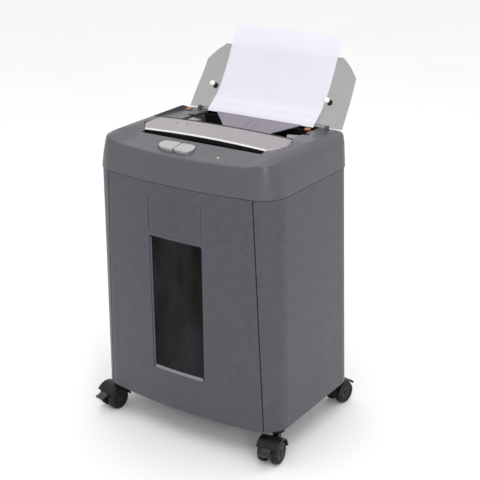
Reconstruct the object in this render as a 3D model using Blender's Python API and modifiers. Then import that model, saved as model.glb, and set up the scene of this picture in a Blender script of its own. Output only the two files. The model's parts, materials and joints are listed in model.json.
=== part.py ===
"""Paper shredder on casters: cabinet, pull-out bin, cutter head, flip-up feed lid. Metres, +Z up.

The front faces -Y and the floor is at z = 0. Lengths are worked out about the cabinet's middle;
the frame empty then shifts everything so that the whole object is centred on the origin.
"""

import math

import bmesh
import bpy
from mathutils import Matrix, Vector

# ---------------------------------------------------------------- driving sizes
FRAME_SHIFT = (0.00067, -0.04875)  # brings the whole object's bounding box over the origin

GAP = 0.0003  # clearance between pieces that touch
WALL = 0.0025  # moulded wall
CABINET_TOP = 0.4516
CABINET_BOTTOM = 0.055
TOP_HALF_WIDTH = 0.1765
BOTTOM_HALF_WIDTH = 0.183
FRONT = -0.120  # the bowed front's foremost line
BACK_TOP = 0.141
BACK_BOTTOM = 0.151
BOW = 0.020  # how far the front falls back at the full half width
FRONT_RADIUS = 0.046
BACK_RADIUS = 0.040
SEAM_TOP = 0.1418  # half width of the bin's door at its top
SEAM_BOTTOM = 0.1588
BACK_SEAM = 0.140

WINDOW_HALF = 0.0525
WINDOW_LOW = 0.122
WINDOW_HIGH = 0.361
GRIP_LOW = 0.367
GRIP_HIGH = 0.428
GRIP_RIBS = 6
BEHIND_DOOR = 0.0007  # the window and grip lie on the door's faceted back
BASE_THICK = 0.003
RAIL_TOP = 0.064  # the ledges that the bin slides on
TUB_HALF_WIDTH = 0.140
TUB_BACK = 0.128
TUB_TOP = 0.392
TUB_WALL = 0.002

HEAD_DATUM = 0.4516  # height of the cabinet's top that the head's own heights are worked out from
HEAD_BOTTOM = HEAD_DATUM + GAP
HEAD_PROUD = 0.0008  # how far the head stands out past the cabinet at the sides and the front
HEAD_BACK = BACK_TOP + 0.002
HEAD_SKIRT = 0.005  # upright foot of the head's wall
DECK_THICK = 0.003

# the head's rings: how far each is drawn in at the side, the front and the back, and how much tighter
# its corners are
HEAD_STEPS = ((0.0, 0.0, 0.0, 0.0), (0.0, 0.0, 0.0, 0.0), (0.0040, 0.0040, 0.0004, 0.006),
              (0.0113, 0.0073, 0.0008, 0.018), (0.0243, 0.0198, 0.0100, 0.021), (0.0373, 0.0328, 0.0230, 0.024),
              (0.0543, 0.0508, 0.0380, 0.027), (0.0693, 0.0688, 0.0530, 0.030))
BAND_LOW = 0.480  # the fullest line of the wall above the skirt, at the front
BAND_RISE = 0.018  # and how much higher it is at the back
RIM_STARTS = 0.122  # half width where the raised rim begins
RIM_WIDTH = 0.025
EDGE_ROUNDS = 0.153  # half width where the rim starts to fall to the side
HEAD_DEPTH = 0.26
TIGHTEST = 0.008  # least corner radius of the head's rings

SLOT_FRONT = -0.0485
SLOT_BACK = -0.0364
SLOT_HALF = 0.1185
BAR_FRONT = SLOT_BACK + 0.0004
BAR_BACK = 0.0245
BAR_SIDE = 0.140
BAR_CORNER = 0.131
BAR_THICK = 0.0022
BAR_SEAT = 0.0004  # clearance round the bar's edge
CHUTE_MOUTH = 0.4990
CHUTE_FOOT = 0.4545
CHUTE_FOOT_HALF = 0.0085
CHUTE_WALL = 0.0015

POCKET_FRONT = 0.0252
POCKET_HALF = 0.1562
CHAMBER_HALF = 0.1125
CHAMBER_FRONT = 0.0278
CHAMBER_BACK = 0.1398
CHAMBER_FLOOR = 0.4655
CHAMBER_TOP = 0.5020
CHAMBER_WALL = 0.002
THROAT = (0.0318, 0.0450, 0.1085)  # where sheets drop to the cutters: front, back, half width
RAMP_EDGE = (0.1222, 0.5085)  # the ramp's rear edge, y and z
RAMP_SLOPE = 0.3104
RAMP_THICK = 0.002
RAMP_FOOT = 0.0460
RAMP_HALF = 0.0855
RAMP_NARROW = 0.0500
RAMP_NARROWS = 0.0890  # where the ramp has narrowed to the strip between the rollers' sides

HINGE = (0.1331, 0.5089)  # the lid's axis, y and z
LID_OPENING = math.radians(120)
LID_THICK = 0.0026
LID_CROWN = 0.0045
POST_X = 0.117
POST_LENGTH = 0.0115
POST_Y = 0.0885
POST_RADIUS = 0.0040
POST_HOLE = 0.0062  # the closed lid's posts stand in holes beside the feed well
PAPER_HALF = 0.108  # letter paper is 216 mm wide
PAPER_THICK = 0.0003

BLUE_LED = (0.0474, -0.0600)
AMBER_LED = (0.0640, -0.0860)
LED_RADIUS = 0.0026
BUTTON_CLEARANCE = 0.0007
BUTTON_PARTING = 0.0004  # half of the gap between the paddles
BUTTON_FLOOR = 0.4965
BUTTON_TOP = 0.5060
BUTTON_STEM = 0.003
BUTTON_AXES = {"button_auto": (-0.040, -0.080), "button_reverse": (-0.004, -0.080)}
BOARD_TOP = 0.4816
BOARD_THICK = 0.0016

INLET = (-0.105, 0.474, 0.0135, 0.0100)  # centre x and z, half width and half height
ROCKER = (-0.068, 0.474, 0.0100, 0.0065)
ROCKER_PIVOT = 0.1385

ROLL_Z = 0.430
ROLL_FRONT_Y = -0.0185
ROLL_SPACING = 0.037
DISC_RADIUS = 0.0215
CORE_RADIUS = 0.0148
DISC_PITCH = 0.018
DISC_WIDTH = 0.0083
DISC_COUNT = 12
JOURNAL = 0.006
CHEEK_X = 0.127  # inner face of the cutter unit's cheek plates
CHEEK_THICK = 0.003
CHEEK_FRONT = -0.044
CHEEK_BACK = 0.112
CUTTER_GEAR_MODULE = 0.00185
CUTTER_GEAR_TEETH = 20
TRAIN_MODULE = 0.0015
IDLER_TEETH = 32
IDLER_PINION_TEETH = 12
MOTOR_PINION_TEETH = 10
FEED_GEAR_TEETH = 27
GEAR_INNER = 0.0085  # offset of the cutter gears' outer face from the cheek's outer face
GEAR_OUTER = 0.0150
MOTOR_DROP = math.radians(-10)
MOTOR_RADIUS = 0.026
FEED_ROLLER_RADIUS = 0.012
FEED_ROLLER_HALF = 0.011
ROLLER_X = 0.028
SHAFT_RADIUS = 0.003
STUD_RADIUS = 0.004
CHEEK_LOW = 0.3980
CHEEK_HIGH = 0.4825
TIE_RODS = {"front": (-0.0370, 0.4050), "rear": (0.0460, 0.4030)}
ROLL_REAR_Y = ROLL_FRONT_Y + ROLL_SPACING
IDLER_Y = ROLL_REAR_Y + (CUTTER_GEAR_TEETH + IDLER_PINION_TEETH) * CUTTER_GEAR_MODULE / 2
MOTOR_REACH = (IDLER_TEETH + MOTOR_PINION_TEETH) * TRAIN_MODULE / 2
MOTOR_Y = IDLER_Y + MOTOR_REACH * math.cos(MOTOR_DROP)
MOTOR_Z = ROLL_Z + MOTOR_REACH * math.sin(MOTOR_DROP)
FEED_Y = IDLER_Y
FEED_Z = ROLL_Z + (IDLER_TEETH + FEED_GEAR_TEETH) * TRAIN_MODULE / 2

CASTER_STEMS = {"front_right": (0.165, -0.072), "front_left": (-0.165, -0.072),
                "rear_right": (0.154, 0.1265), "rear_left": (-0.154, 0.1265)}
CASTER_HEADINGS = {"front_right": -82, "front_left": -100, "rear_right": 82, "rear_left": 98}
CASTER_TRAIL = 0.0215
WHEEL_RADIUS = 0.020
WHEEL_HALF = 0.0185
WHEEL_INNER = 0.0066
HOOD_RADIUS = WHEEL_RADIUS + 0.0045
HOOD_THICK = 0.0030
HOOD_FRONT = 33.6  # degrees about the wheels' middle
HOOD_REAR = 192
STEM_RADIUS = 0.0032
STEM_COLLAR = 0.0135
AXLE_RADIUS = 0.0030
AXLE_BORE = 0.0034
PEDAL_REACH = 0.0232  # from the wheels' middle to the brake pedal's pivot
PEDAL_RISE = math.radians(30)

# ---------------------------------------------------------------- scene and materials
for item in list(bpy.data.objects):
    bpy.data.objects.remove(item, do_unlink=True)

PARTS = bpy.data.collections.new("paper_shredder")
CUTTERS = bpy.data.collections.new("cutters")
for group in (PARTS, CUTTERS):
    bpy.context.scene.collection.children.link(group)


def finish(name, colour, roughness, metallic=0.0, alpha=1.0):
    """A plain Principled material."""
    material = bpy.data.materials.new(name)
    material.use_nodes = True
    shader = material.node_tree.nodes["Principled BSDF"]
    shader.inputs["Base Color"].default_value = (*colour, 1.0)
    shader.inputs["Roughness"].default_value = roughness
    shader.inputs["Metallic"].default_value = metallic
    shader.inputs["Alpha"].default_value = alpha
    return material


SLATE = finish("slate_plastic", (0.105, 0.102, 0.122), 0.45)
SLATE_TOP = finish("slate_head", (0.170, 0.168, 0.185), 0.4)
SILVER = finish("silver_plastic", (0.47, 0.45, 0.46), 0.3)
CHROME = finish("bright_plastic", (0.62, 0.62, 0.64), 0.15, 0.6)
LAVENDER = finish("ramp_plastic", (0.36, 0.34, 0.39), 0.35)
BLACK = finish("black_plastic", (0.012, 0.012, 0.014), 0.5)
WINDOW = finish("smoked_window", (0.012, 0.012, 0.014), 0.1, 0.0, 0.75)
SMOKED = finish("smoked_lid", (0.24, 0.235, 0.22), 0.12, 0.0, 0.5)
WHITE = finish("white_plastic", (0.85, 0.85, 0.85), 0.3)
PAPER = finish("paper", (0.84, 0.82, 0.91), 0.8)
STEEL = finish("steel", (0.45, 0.45, 0.46), 0.3, 1.0)
HARD_STEEL = finish("cutter_steel", (0.32, 0.32, 0.33), 0.35, 1.0)
NYLON = finish("nylon", (0.75, 0.73, 0.66), 0.5)
RUBBER = finish("rubber", (0.02, 0.02, 0.02), 0.8)
ORANGE = finish("orange_plastic", (0.52, 0.16, 0.05), 0.4)
BLUE_LENS = finish("blue_lens", (0.045, 0.16, 0.26), 0.2)
AMBER_LENS = finish("amber_lens", (0.58, 0.46, 0.19), 0.2)
BOARD_GREEN = finish("circuit_board", (0.02, 0.11, 0.05), 0.45)
PEDAL_GREY = finish("pedal_plastic", (0.15, 0.15, 0.17), 0.45)


# ---------------------------------------------------------------- modelling helpers
def empty(name, place, parent=None, turn=0.0):
    """A joint's axis, or the frame, as an empty."""
    marker = bpy.data.objects.new(name, None)
    PARTS.objects.link(marker)
    marker.parent = parent
    marker.location = place
    marker.rotation_euler = (0, 0, turn)
    return marker


FRAME = empty("shredder_frame", (*FRAME_SHIFT, 0))
HEAD = empty("head_frame", (0, 0, CABINET_TOP - HEAD_DATUM), FRAME)


def to_mesh(bm, name="shape"):
    """Closes a bmesh into a mesh with its faces pointing out."""
    bmesh.ops.recalc_face_normals(bm, faces=bm.faces)
    mesh = bpy.data.meshes.new(name)
    bm.to_mesh(mesh)
    bm.free()
    return mesh


def block(low, high):
    """A box from its lowest to its highest corner."""
    bm = bmesh.new()
    bmesh.ops.create_cube(bm, size=1)
    size = [b - a for a, b in zip(low, high)]
    bmesh.ops.scale(bm, vec=size, verts=bm.verts)
    bmesh.ops.translate(bm, vec=[(a + b) / 2 for a, b in zip(low, high)], verts=bm.verts)
    return to_mesh(bm)


def rod(start, end, radius, sides=16, end_radius=None):
    """A round bar between two points."""
    start, end = Vector(start), Vector(end)
    run = end - start
    bm = bmesh.new()
    bmesh.ops.create_cone(bm, cap_ends=True, segments=sides, radius1=radius,
                          radius2=radius if end_radius is None else end_radius, depth=run.length)
    turn = run.to_track_quat("Z", "Y").to_matrix().to_4x4()
    bmesh.ops.transform(bm, matrix=Matrix.Translation((start + end) / 2) @ turn, verts=bm.verts)
    return to_mesh(bm)


PLANES = {"XY": Matrix(((1, 0, 0), (0, 1, 0), (0, 0, 1))),
          "YZ": Matrix(((0, 0, 1), (1, 0, 0), (0, 1, 0))),
          "XZ": Matrix(((1, 0, 0), (0, 0, -1), (0, 1, 0)))}


def plate(points, low, high, plane="XY", holes=()):
    """A flat outline, extruded between two heights square to its plane."""
    curve = bpy.data.curves.new("outline", "CURVE")
    curve.dimensions = "2D"
    curve.fill_mode = "BOTH"
    curve.extrude = (high - low) / 2
    for ring in (points, *holes):
        spline = curve.splines.new("POLY")
        spline.points.add(len(ring) - 1)
        for point, (u, v) in zip(spline.points, ring):
            point.co = (u, v, 0, 1)
        spline.use_cyclic_u = True
    holder = bpy.data.objects.new("outline", curve)
    PARTS.objects.link(holder)
    bpy.context.view_layer.update()
    mesh = bpy.data.meshes.new_from_object(holder.evaluated_get(bpy.context.evaluated_depsgraph_get()))
    bpy.data.objects.remove(holder, do_unlink=True)
    bpy.data.curves.remove(curve)
    bm = bmesh.new()
    bm.from_mesh(mesh)
    bmesh.ops.remove_doubles(bm, verts=bm.verts, dist=1e-6)
    middle = (low + high) / 2 * (-1 if plane == "XZ" else 1)
    turn = PLANES[plane].to_4x4()
    bmesh.ops.transform(bm, matrix=turn @ Matrix.Translation((0, 0, middle)), verts=bm.verts)
    return to_mesh(bm)


def loft(rings, closed=False):
    """Joins rings of equal count; the ends are capped, or joined to each other when closed."""
    bm = bmesh.new()
    rows = [[bm.verts.new(p) for p in ring] for ring in rings]
    pairs = list(zip(rows, rows[1:] + rows[:1])) if closed else list(zip(rows, rows[1:]))
    for lower, upper in pairs:
        for i in range(len(lower)):
            j = (i + 1) % len(lower)
            bm.faces.new((lower[i], lower[j], upper[j], upper[i]))
    if not closed:
        bm.faces.new(rows[0][::-1])
        bm.faces.new(rows[-1])
    return to_mesh(bm)


def add(name, mesh, material, parent=FRAME, place=(0, 0, 0), turn=(0, 0, 0)):
    """Makes one named sub-part."""
    item = bpy.data.objects.new(name, mesh)
    PARTS.objects.link(item)
    mesh.materials.clear()
    mesh.materials.append(material)
    mesh.shade_smooth()
    mesh.set_sharp_from_angle(angle=math.radians(32))
    item.parent = parent
    item.location = place
    item.rotation_euler = turn
    return item


def on_axis(item, axis):
    """Hangs a sub-part, built in the cabinet's coordinates, on a joint's axis."""
    item.parent = axis
    item.location = -axis.location
    return item


def combine(item, mesh, operation="DIFFERENCE"):
    """Cuts a sub-part with a second shape, joins the two, or keeps what they share."""
    tool = bpy.data.objects.new(item.name + "_tool", mesh)
    CUTTERS.objects.link(tool)
    tool.parent = item
    tool.hide_render = True
    tool.display_type = "WIRE"
    change = item.modifiers.new(operation.lower(), "BOOLEAN")
    change.operation = operation
    change.object = tool
    change.solver = "EXACT"
    return item


def bevel(item, width, segments=1, angle=40):
    """Rounds a sub-part's edges."""
    change = item.modifiers.new("rounded", "BEVEL")
    change.width = width
    change.segments = segments
    change.limit_method = "ANGLE"
    change.angle_limit = math.radians(angle)
    return item


def lathe(name, profile, steps, material, parent, place=(0, 0, 0), turn=(0, 0, 0), ring=False):
    """A turned sub-part: radius and height pairs, top to bottom, about its own Z."""
    mesh = bpy.data.meshes.new(name)
    count = len(profile)
    edges = [(i, i + 1) for i in range(count - 1)] + ([(count - 1, 0)] if ring else [])
    mesh.from_pydata([(radius, 0, height) for radius, height in profile], edges, [])
    item = add(name, mesh, material, parent, place, turn)
    turned = item.modifiers.new("turned", "SCREW")
    turned.steps = turned.render_steps = steps
    turned.use_merge_vertices = True
    turned.merge_threshold = 0.00001
    turned.use_smooth_shade = True
    return item


def arc(centre, radius, start, stop, steps):
    """Points on an arc, degrees, both ends included."""
    angles = [math.radians(start + (stop - start) * i / steps) for i in range(steps + 1)]
    return [(centre[0] + radius * math.cos(a), centre[1] + radius * math.sin(a)) for a in angles]


def circle(centre, radius, sides=16):
    return arc(centre, radius, 0, 360 - 360 / sides, sides - 1)


def between(value, table):
    """Straight-line reading of a table of pairs."""
    if value <= table[0][0]:
        return table[0][1]
    for (a, low), (b, high) in zip(table, table[1:]):
        if value <= b:
            return low + (high - low) * (value - a) / (b - a)
    return table[-1][1]


def plan(half_width, front, back, front_radius, back_radius):
    """The cabinet's plan outline, anticlockwise from the front's left end, with its bowed front."""
    flat = half_width - front_radius
    steps = 8
    points = []
    for i in range(steps + 1):
        x = -flat + 2 * flat * i / steps
        points.append((x, front + BOW * (x / half_width) ** 2))
    corner_y = front + BOW * (flat / half_width) ** 2 + front_radius
    right = arc((flat, corner_y), front_radius, -90, 0, 5)[1:]
    right += arc((half_width - back_radius, back - back_radius), back_radius, 0, 90, 4)
    return points + right + [(-x, y) for x, y in reversed(right)]


def at_height(ring, height):
    """Lifts a plan outline; height is a number or a function of x and y."""
    return [(x, y, height(x, y) if callable(height) else height) for x, y in ring]


def bow_at(x, half_width=TOP_HALF_WIDTH):
    return BOW * (x / half_width) ** 2


# ---------------------------------------------------------------- cabinet
def cabinet_tube():
    """The four upright walls as one tube, before they are parted at their seams."""
    def wall(inset, low):
        if low:
            return at_height(plan(BOTTOM_HALF_WIDTH - inset, FRONT + inset, BACK_BOTTOM - inset,
                                  FRONT_RADIUS - inset, BACK_RADIUS - inset), CABINET_BOTTOM)
        return at_height(plan(TOP_HALF_WIDTH - inset, FRONT + inset, BACK_TOP - inset,
                              FRONT_RADIUS - inset, BACK_RADIUS - inset), CABINET_TOP)
    return loft([wall(0, True), wall(0, False), wall(WALL, False), wall(WALL, True)], closed=True)


def door_prism(gap):
    """The bin door's outline seen from the front, wider at the foot, run past both ends."""
    slope = (SEAM_BOTTOM - SEAM_TOP) / (CABINET_TOP - CABINET_BOTTOM)
    margin = 0.01
    low, high = SEAM_BOTTOM + slope * margin + gap, SEAM_TOP - slope * margin + gap
    corners = [(-low, CABINET_BOTTOM - margin), (low, CABINET_BOTTOM - margin),
               (high, CABINET_TOP + margin), (-high, CABINET_TOP + margin)]
    return plate(corners, -0.20, -0.055, "XZ")


def build_cabinet():
    far = 0.3
    for side, other_half in (("left", (0, far)), ("right", (-far, 0))):
        panel = add(f"side_panel_{side}", cabinet_tube(), SLATE)
        combine(panel, door_prism(0))
        combine(panel, block((-BACK_SEAM, 0.05, 0), (BACK_SEAM, far, 0.6)))
        combine(panel, block((other_half[0], -far, 0), (other_half[1], far, 0.6)))
    back = add("back_panel", cabinet_tube(), SLATE)
    seam = BACK_SEAM - GAP
    combine(back, block((-seam, 0.05, 0), (seam, far, 0.6)), "INTERSECT")
    inset = WALL + GAP
    low = plan(BOTTOM_HALF_WIDTH - inset, FRONT + inset, BACK_BOTTOM - inset,
               FRONT_RADIUS - inset, BACK_RADIUS - inset)
    base_top = CABINET_BOTTOM + GAP + BASE_THICK
    rise = (BASE_THICK + GAP) / (CABINET_TOP - CABINET_BOTTOM)
    slim_side, slim_back = rise * (BOTTOM_HALF_WIDTH - TOP_HALF_WIDTH), rise * (BACK_BOTTOM - BACK_TOP)
    high = plan(BOTTOM_HALF_WIDTH - inset - slim_side, FRONT + inset, BACK_BOTTOM - inset - slim_back,
                FRONT_RADIUS - inset, BACK_RADIUS - inset)
    base = add("base_plate", loft([at_height(low, CABINET_BOTTOM + GAP), at_height(high, base_top)]), BLACK)
    inner, outer = TUB_HALF_WIDTH + GAP, TUB_HALF_WIDTH + GAP + 0.004
    for sign in (-1, 1):
        ledge = [(inner - 0.018, base_top - 0.001), (outer, base_top - 0.001), (outer, RAIL_TOP + 0.014),
                 (inner, RAIL_TOP + 0.014), (inner, RAIL_TOP), (inner - 0.018, RAIL_TOP)]
        ledge = [(sign * x, z) for x, z in ledge][::sign]
        combine(base, plate(ledge, -0.085, TUB_BACK, "XZ"), "UNION")


# ---------------------------------------------------------------- pull-out bin
def bowed_strip(half, front_offset, thickness, low, high):
    """A plate that follows the door's bow, set back from its outer face."""
    xs = [-half + 2 * half * i / 6 for i in range(7)]
    near = [(x, FRONT + bow_at(x) + front_offset) for x in xs]
    far = [(x, y + thickness) for x, y in reversed(near)]
    ring = near + far
    return loft([at_height(ring, low), at_height(ring, high)])


def build_bin():
    slide = empty("bin_slide_axis", (0, FRONT, 0.2), FRAME)
    door = on_axis(add("bin_door", cabinet_tube(), SLATE), slide)
    combine(door, door_prism(-GAP), "INTERSECT")
    combine(door, block((-WINDOW_HALF, -0.2, WINDOW_LOW), (WINDOW_HALF, -0.09, WINDOW_HIGH)))
    combine(door, block((-WINDOW_HALF, -0.2, GRIP_LOW), (WINDOW_HALF, -0.09, GRIP_HIGH)))
    behind = WALL + BEHIND_DOOR
    overlap = 0.004
    half = WINDOW_HALF + overlap
    split = (WINDOW_HIGH + GRIP_LOW) / 2
    on_axis(add("bin_window", bowed_strip(half, behind, 0.002, WINDOW_LOW - overlap, split - GAP / 2), WINDOW),
            slide)
    grip = on_axis(add("pull_grip", bowed_strip(half, behind, 0.002, split + GAP / 2, GRIP_HIGH + overlap),
                       SLATE), slide)
    rib_pitch = (GRIP_HIGH - GRIP_LOW) / GRIP_RIBS
    for i in range(GRIP_RIBS):
        low = GRIP_LOW + rib_pitch * (i + 0.2)
        rib = bowed_strip(WINDOW_HALF - GAP, 0.0006, behind, low, low + 0.6 * rib_pitch)
        combine(grip, rib, "UNION")
    tub_front = FRONT + BOW * (TUB_HALF_WIDTH / TOP_HALF_WIDTH) ** 2 + 0.0062
    tub_low = RAIL_TOP + GAP
    outer = [(-TUB_HALF_WIDTH, tub_front), (TUB_HALF_WIDTH, tub_front),
             (TUB_HALF_WIDTH, TUB_BACK), (-TUB_HALF_WIDTH, TUB_BACK)]
    inside = TUB_HALF_WIDTH - TUB_WALL
    inner = [(-inside, tub_front + TUB_WALL), (inside, tub_front + TUB_WALL),
             (inside, TUB_BACK - TUB_WALL), (-inside, TUB_BACK - TUB_WALL)]
    tub = loft([at_height(outer, tub_low), at_height(outer, TUB_TOP), at_height(inner, TUB_TOP),
                at_height(inner, tub_low + TUB_WALL)])
    tub = on_axis(add("waste_tub", tub, BLACK), slide)
    for sign in (-1, 1):
        reach = sorted((sign * 0.062, sign * 0.070))
        for height in (0.10, 0.36):
            front_y = FRONT + bow_at(0.070) + WALL + GAP
            combine(tub, block((reach[0], front_y, height), (reach[1], tub_front + 0.001, height + 0.012)),
                    "UNION")


# ---------------------------------------------------------------- head
RIM = [(-0.1135, 0.499), (-0.089, 0.507), (-0.068, 0.510), (-0.042, 0.515), (0.0, 0.518), (0.04, 0.519),
       (0.066, 0.518), (0.094, 0.516), (0.115, 0.513), (0.130, 0.508), (0.143, 0.503)]
MIDDLE = [(-0.1135, 0.4985), (-0.089, 0.5010), (-0.068, 0.5038), (-0.048, 0.5062), (0.0, 0.512), (0.15, 0.512)]


def top_height(x, y):
    """Height of the head's top: a raised rim at the sides, a lower console in the middle."""
    share = min(max((abs(x) - RIM_STARTS) / RIM_WIDTH, 0), 1)
    share = share * share * (3 - 2 * share)
    edge_fall = max(abs(x) - EDGE_ROUNDS, 0) * 0.35
    return between(y, RIM) * share + between(y, MIDDLE) * (1 - share) - edge_fall


def band_height(x, y):
    """Upper edge of the head's upright band, higher at the back."""
    return BAND_LOW + (y - FRONT) * BAND_RISE / HEAD_DEPTH


def head_rings(inset, drop, low):
    """Rings of the head's outer shape, or of its hollow when inset."""
    rings = []
    heights = (low, HEAD_BOTTOM + HEAD_SKIRT, band_height) + (top_height,) * (len(HEAD_STEPS) - 3)
    for (side, front, back, tighter), height in zip(HEAD_STEPS, heights):
        half = TOP_HALF_WIDTH + HEAD_PROUD - side
        front, back = FRONT - HEAD_PROUD + front, HEAD_BACK - back
        front_radius = max(FRONT_RADIUS - tighter - inset, TIGHTEST)
        back_radius = max(BACK_RADIUS - tighter - inset, TIGHTEST)
        ring = plan(half - inset, front + inset, back - inset, front_radius, back_radius)
        if callable(height):
            rings.append([(x, y, height(x, y) - drop) for x, y in ring])
        else:
            rings.append(at_height(ring, height))
    return rings


def pocket_floor(y):
    """The lid's pocket falls gently to the rear."""
    return 0.5042 + (0.1385 - y) * 0.03


def pocket_prism(grow):
    front, back, ceiling = POCKET_FRONT - grow, 0.17, 0.56
    section = [(front, pocket_floor(front) - grow), (back, pocket_floor(back) - grow),
               (back, ceiling), (front, ceiling)]
    return plate(section, -POCKET_HALF - grow, POCKET_HALF + grow, "YZ")


def bar_opening():
    """Plan of the slot and of the bar's seat behind it."""
    side = [(SLOT_HALF, SLOT_FRONT), (SLOT_HALF, SLOT_BACK), (0.1204, SLOT_BACK), (BAR_SIDE + BAR_SEAT, -0.012),
            (BAR_CORNER + BAR_SEAT, BAR_BACK + GAP)]
    return side + [(-x, y) for x, y in reversed(side)]


LEFT_EDGE = [(-0.0300, -0.0600), (-0.0520, -0.0610), (-0.0565, -0.0650), (-0.0570, -0.0740),
             (-0.0530, -0.0850), (-0.0440, -0.0945), (-0.0390, -0.0970), (-0.0250, -0.0980)]
RIGHT_EDGE = [(-0.0120, -0.0595), (-0.0020, -0.0590), (0.0060, -0.0640), (0.0110, -0.0730),
              (0.0145, -0.0850), (0.0130, -0.0930), (0.0080, -0.0975), (-0.0020, -0.0985)]


def button_well():
    """Plan of the well that both paddles stand in."""
    centre = Vector((-0.0210, -0.0790))
    points = []
    for edge in LEFT_EDGE + RIGHT_EDGE[::-1]:
        away = Vector(edge) - centre
        points.append(tuple(centre + away * (1 + BUTTON_CLEARANCE * 1.3 / away.length)))
    return points


def button_outline(left):
    """Plan of one paddle; an S parts the two."""
    s_line = [(-0.0150, -0.0975), (-0.0185, -0.0900), (-0.0200, -0.0820), (-0.0222, -0.0740),
              (-0.0240, -0.0670), (-0.0245, -0.0605)]
    if left:
        return [(x - BUTTON_PARTING, y) for x, y in s_line] + LEFT_EDGE
    return [(x + BUTTON_PARTING, y) for x, y in s_line] + RIGHT_EDGE


def build_head():
    shell = add("head_cover", loft(head_rings(0, 0, HEAD_BOTTOM)), SLATE_TOP, HEAD)
    hollow = bpy.data.objects.new("head_hollow", loft(head_rings(WALL, WALL + 0.0003, HEAD_BOTTOM - 0.01)))
    CUTTERS.objects.link(hollow)
    hollow.parent = shell
    hollow.hide_render = True
    hollow.display_type = "WIRE"
    combine(hollow, pocket_prism(WALL))
    change = shell.modifiers.new("hollow", "BOOLEAN")
    change.object = hollow
    change.solver = "EXACT"
    combine(shell, pocket_prism(0))
    under, over = 0.47, 0.56
    combine(shell, plate(bar_opening(), under, over))
    combine(shell, block((-CHAMBER_HALF - GAP, CHAMBER_FRONT - GAP, under),
                         (CHAMBER_HALF + GAP, CHAMBER_BACK + GAP, over)))
    for x in (-POST_X, POST_X):
        combine(shell, rod((x, POST_Y, under), (x, POST_Y, over), POST_HOLE, 16))
    combine(shell, plate(button_well(), under, over))
    for x, y in (BLUE_LED, AMBER_LED):
        combine(shell, rod((x, y, under), (x, y, over), LED_RADIUS + GAP, 12))
    for sign in (-1, 1):
        low, high = sorted((sign * 0.1270, sign * 0.1330))
        bearing = [(0.1302, 0.5025), (0.1360, 0.5025), (0.1360, 0.5095), (0.1345, 0.5112), (0.1317, 0.5112),
                   (0.1302, 0.5095)]
        combine(shell, plate(bearing, low, high, "YZ", holes=[circle(HINGE, 0.0016, 10)]), "UNION")
    for x, z, wide, tall in (INLET, ROCKER):
        combine(shell, block((x - wide - GAP, 0.13, z - tall - GAP), (x + wide + GAP, 0.16, z + tall + GAP)))

    inset = WALL + GAP
    deck_plan = plan(TOP_HALF_WIDTH + HEAD_PROUD - inset, FRONT - HEAD_PROUD + inset,
                     HEAD_BACK - inset, FRONT_RADIUS - inset, BACK_RADIUS - inset)
    right = CHEEK_X + CHEEK_THICK + GAP
    left = -(CHEEK_X + CHEEK_THICK + GEAR_OUTER) - 0.0053
    hole = [(left, CHEEK_FRONT - GAP), (right, CHEEK_FRONT - GAP),
            (right, CHEEK_BACK + GAP), (left, CHEEK_BACK + GAP)]
    add("head_chassis", plate(deck_plan, HEAD_BOTTOM, HEAD_BOTTOM + DECK_THICK, holes=[hole]), BLACK, HEAD)


def bar_height(x, y):
    """Top of the bar, rising from the slot to the lid and crowned across."""
    rise = (y - BAR_FRONT) / (BAR_BACK - BAR_FRONT)
    return (0.5133 - 0.25 * x * x) * (1 - rise) + (0.5178 - 0.16 * x * x) * rise


def build_bar():
    """A curved silver cover with a flange down into the slot and one at the back."""
    stations = [i / 12 for i in range(13)]
    # y, half width and how far below the bar's top
    lines = [(BAR_FRONT, 0.120, 0.0105), (BAR_FRONT, 0.120, 0.0), (-0.0240, 0.1300, 0.0),
             (-0.012, BAR_SIDE, 0.0), (0.006, 0.1355, 0.0), (BAR_BACK, BAR_CORNER, 0.0),
             (BAR_BACK, BAR_CORNER, 0.0065)]
    bm = bmesh.new()
    rows = []
    for y, half, drop in lines:
        row = []
        for share in stations:
            x = half * (2 * share - 1)
            row.append(bm.verts.new((x, y, bar_height(x, y) - drop)))
        rows.append(row)
    for lower, upper in zip(rows, rows[1:]):
        for i in range(len(stations) - 1):
            bm.faces.new((lower[i], lower[i + 1], upper[i + 1], upper[i]))
    mesh = bpy.data.meshes.new("feed_bar")
    bm.to_mesh(mesh)
    bm.free()
    bar = add("feed_bar", mesh, SILVER, HEAD)
    skin = bar.modifiers.new("skin", "SOLIDIFY")
    skin.thickness = BAR_THICK
    skin.offset = -1
    skin.use_even_offset = True


def duct(front, back, half, z):
    """One ring of the chute."""
    return [(-half, front, z), (half, front, z), (half, back, z), (-half, back, z)]


def build_chute():
    """The slanting duct that leads hand-fed sheets from the slot to the cutters."""
    half, front, back = SLOT_HALF - GAP, SLOT_FRONT + GAP, BAR_FRONT - GAP
    foot, wall = CHUTE_FOOT_HALF, CHUTE_WALL
    rings = [duct(front, back, half, CHUTE_MOUTH),
             duct(-foot, foot, half, CHUTE_FOOT),
             duct(-foot + wall, foot - wall, half - wall, CHUTE_FOOT),
             duct(front + wall, back - wall, half - wall, CHUTE_MOUTH)]
    add("slot_chute", loft(rings, closed=True), BLACK, HEAD)


def ramp_height(y):
    return RAMP_EDGE[1] - RAMP_SLOPE * (RAMP_EDGE[0] - y)


def roller_window(sign):
    """Left and right edges of the room that a feed roller needs."""
    half = FEED_ROLLER_HALF + 0.0015
    return sorted((sign * (ROLLER_X - half), sign * (ROLLER_X + half)))


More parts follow.
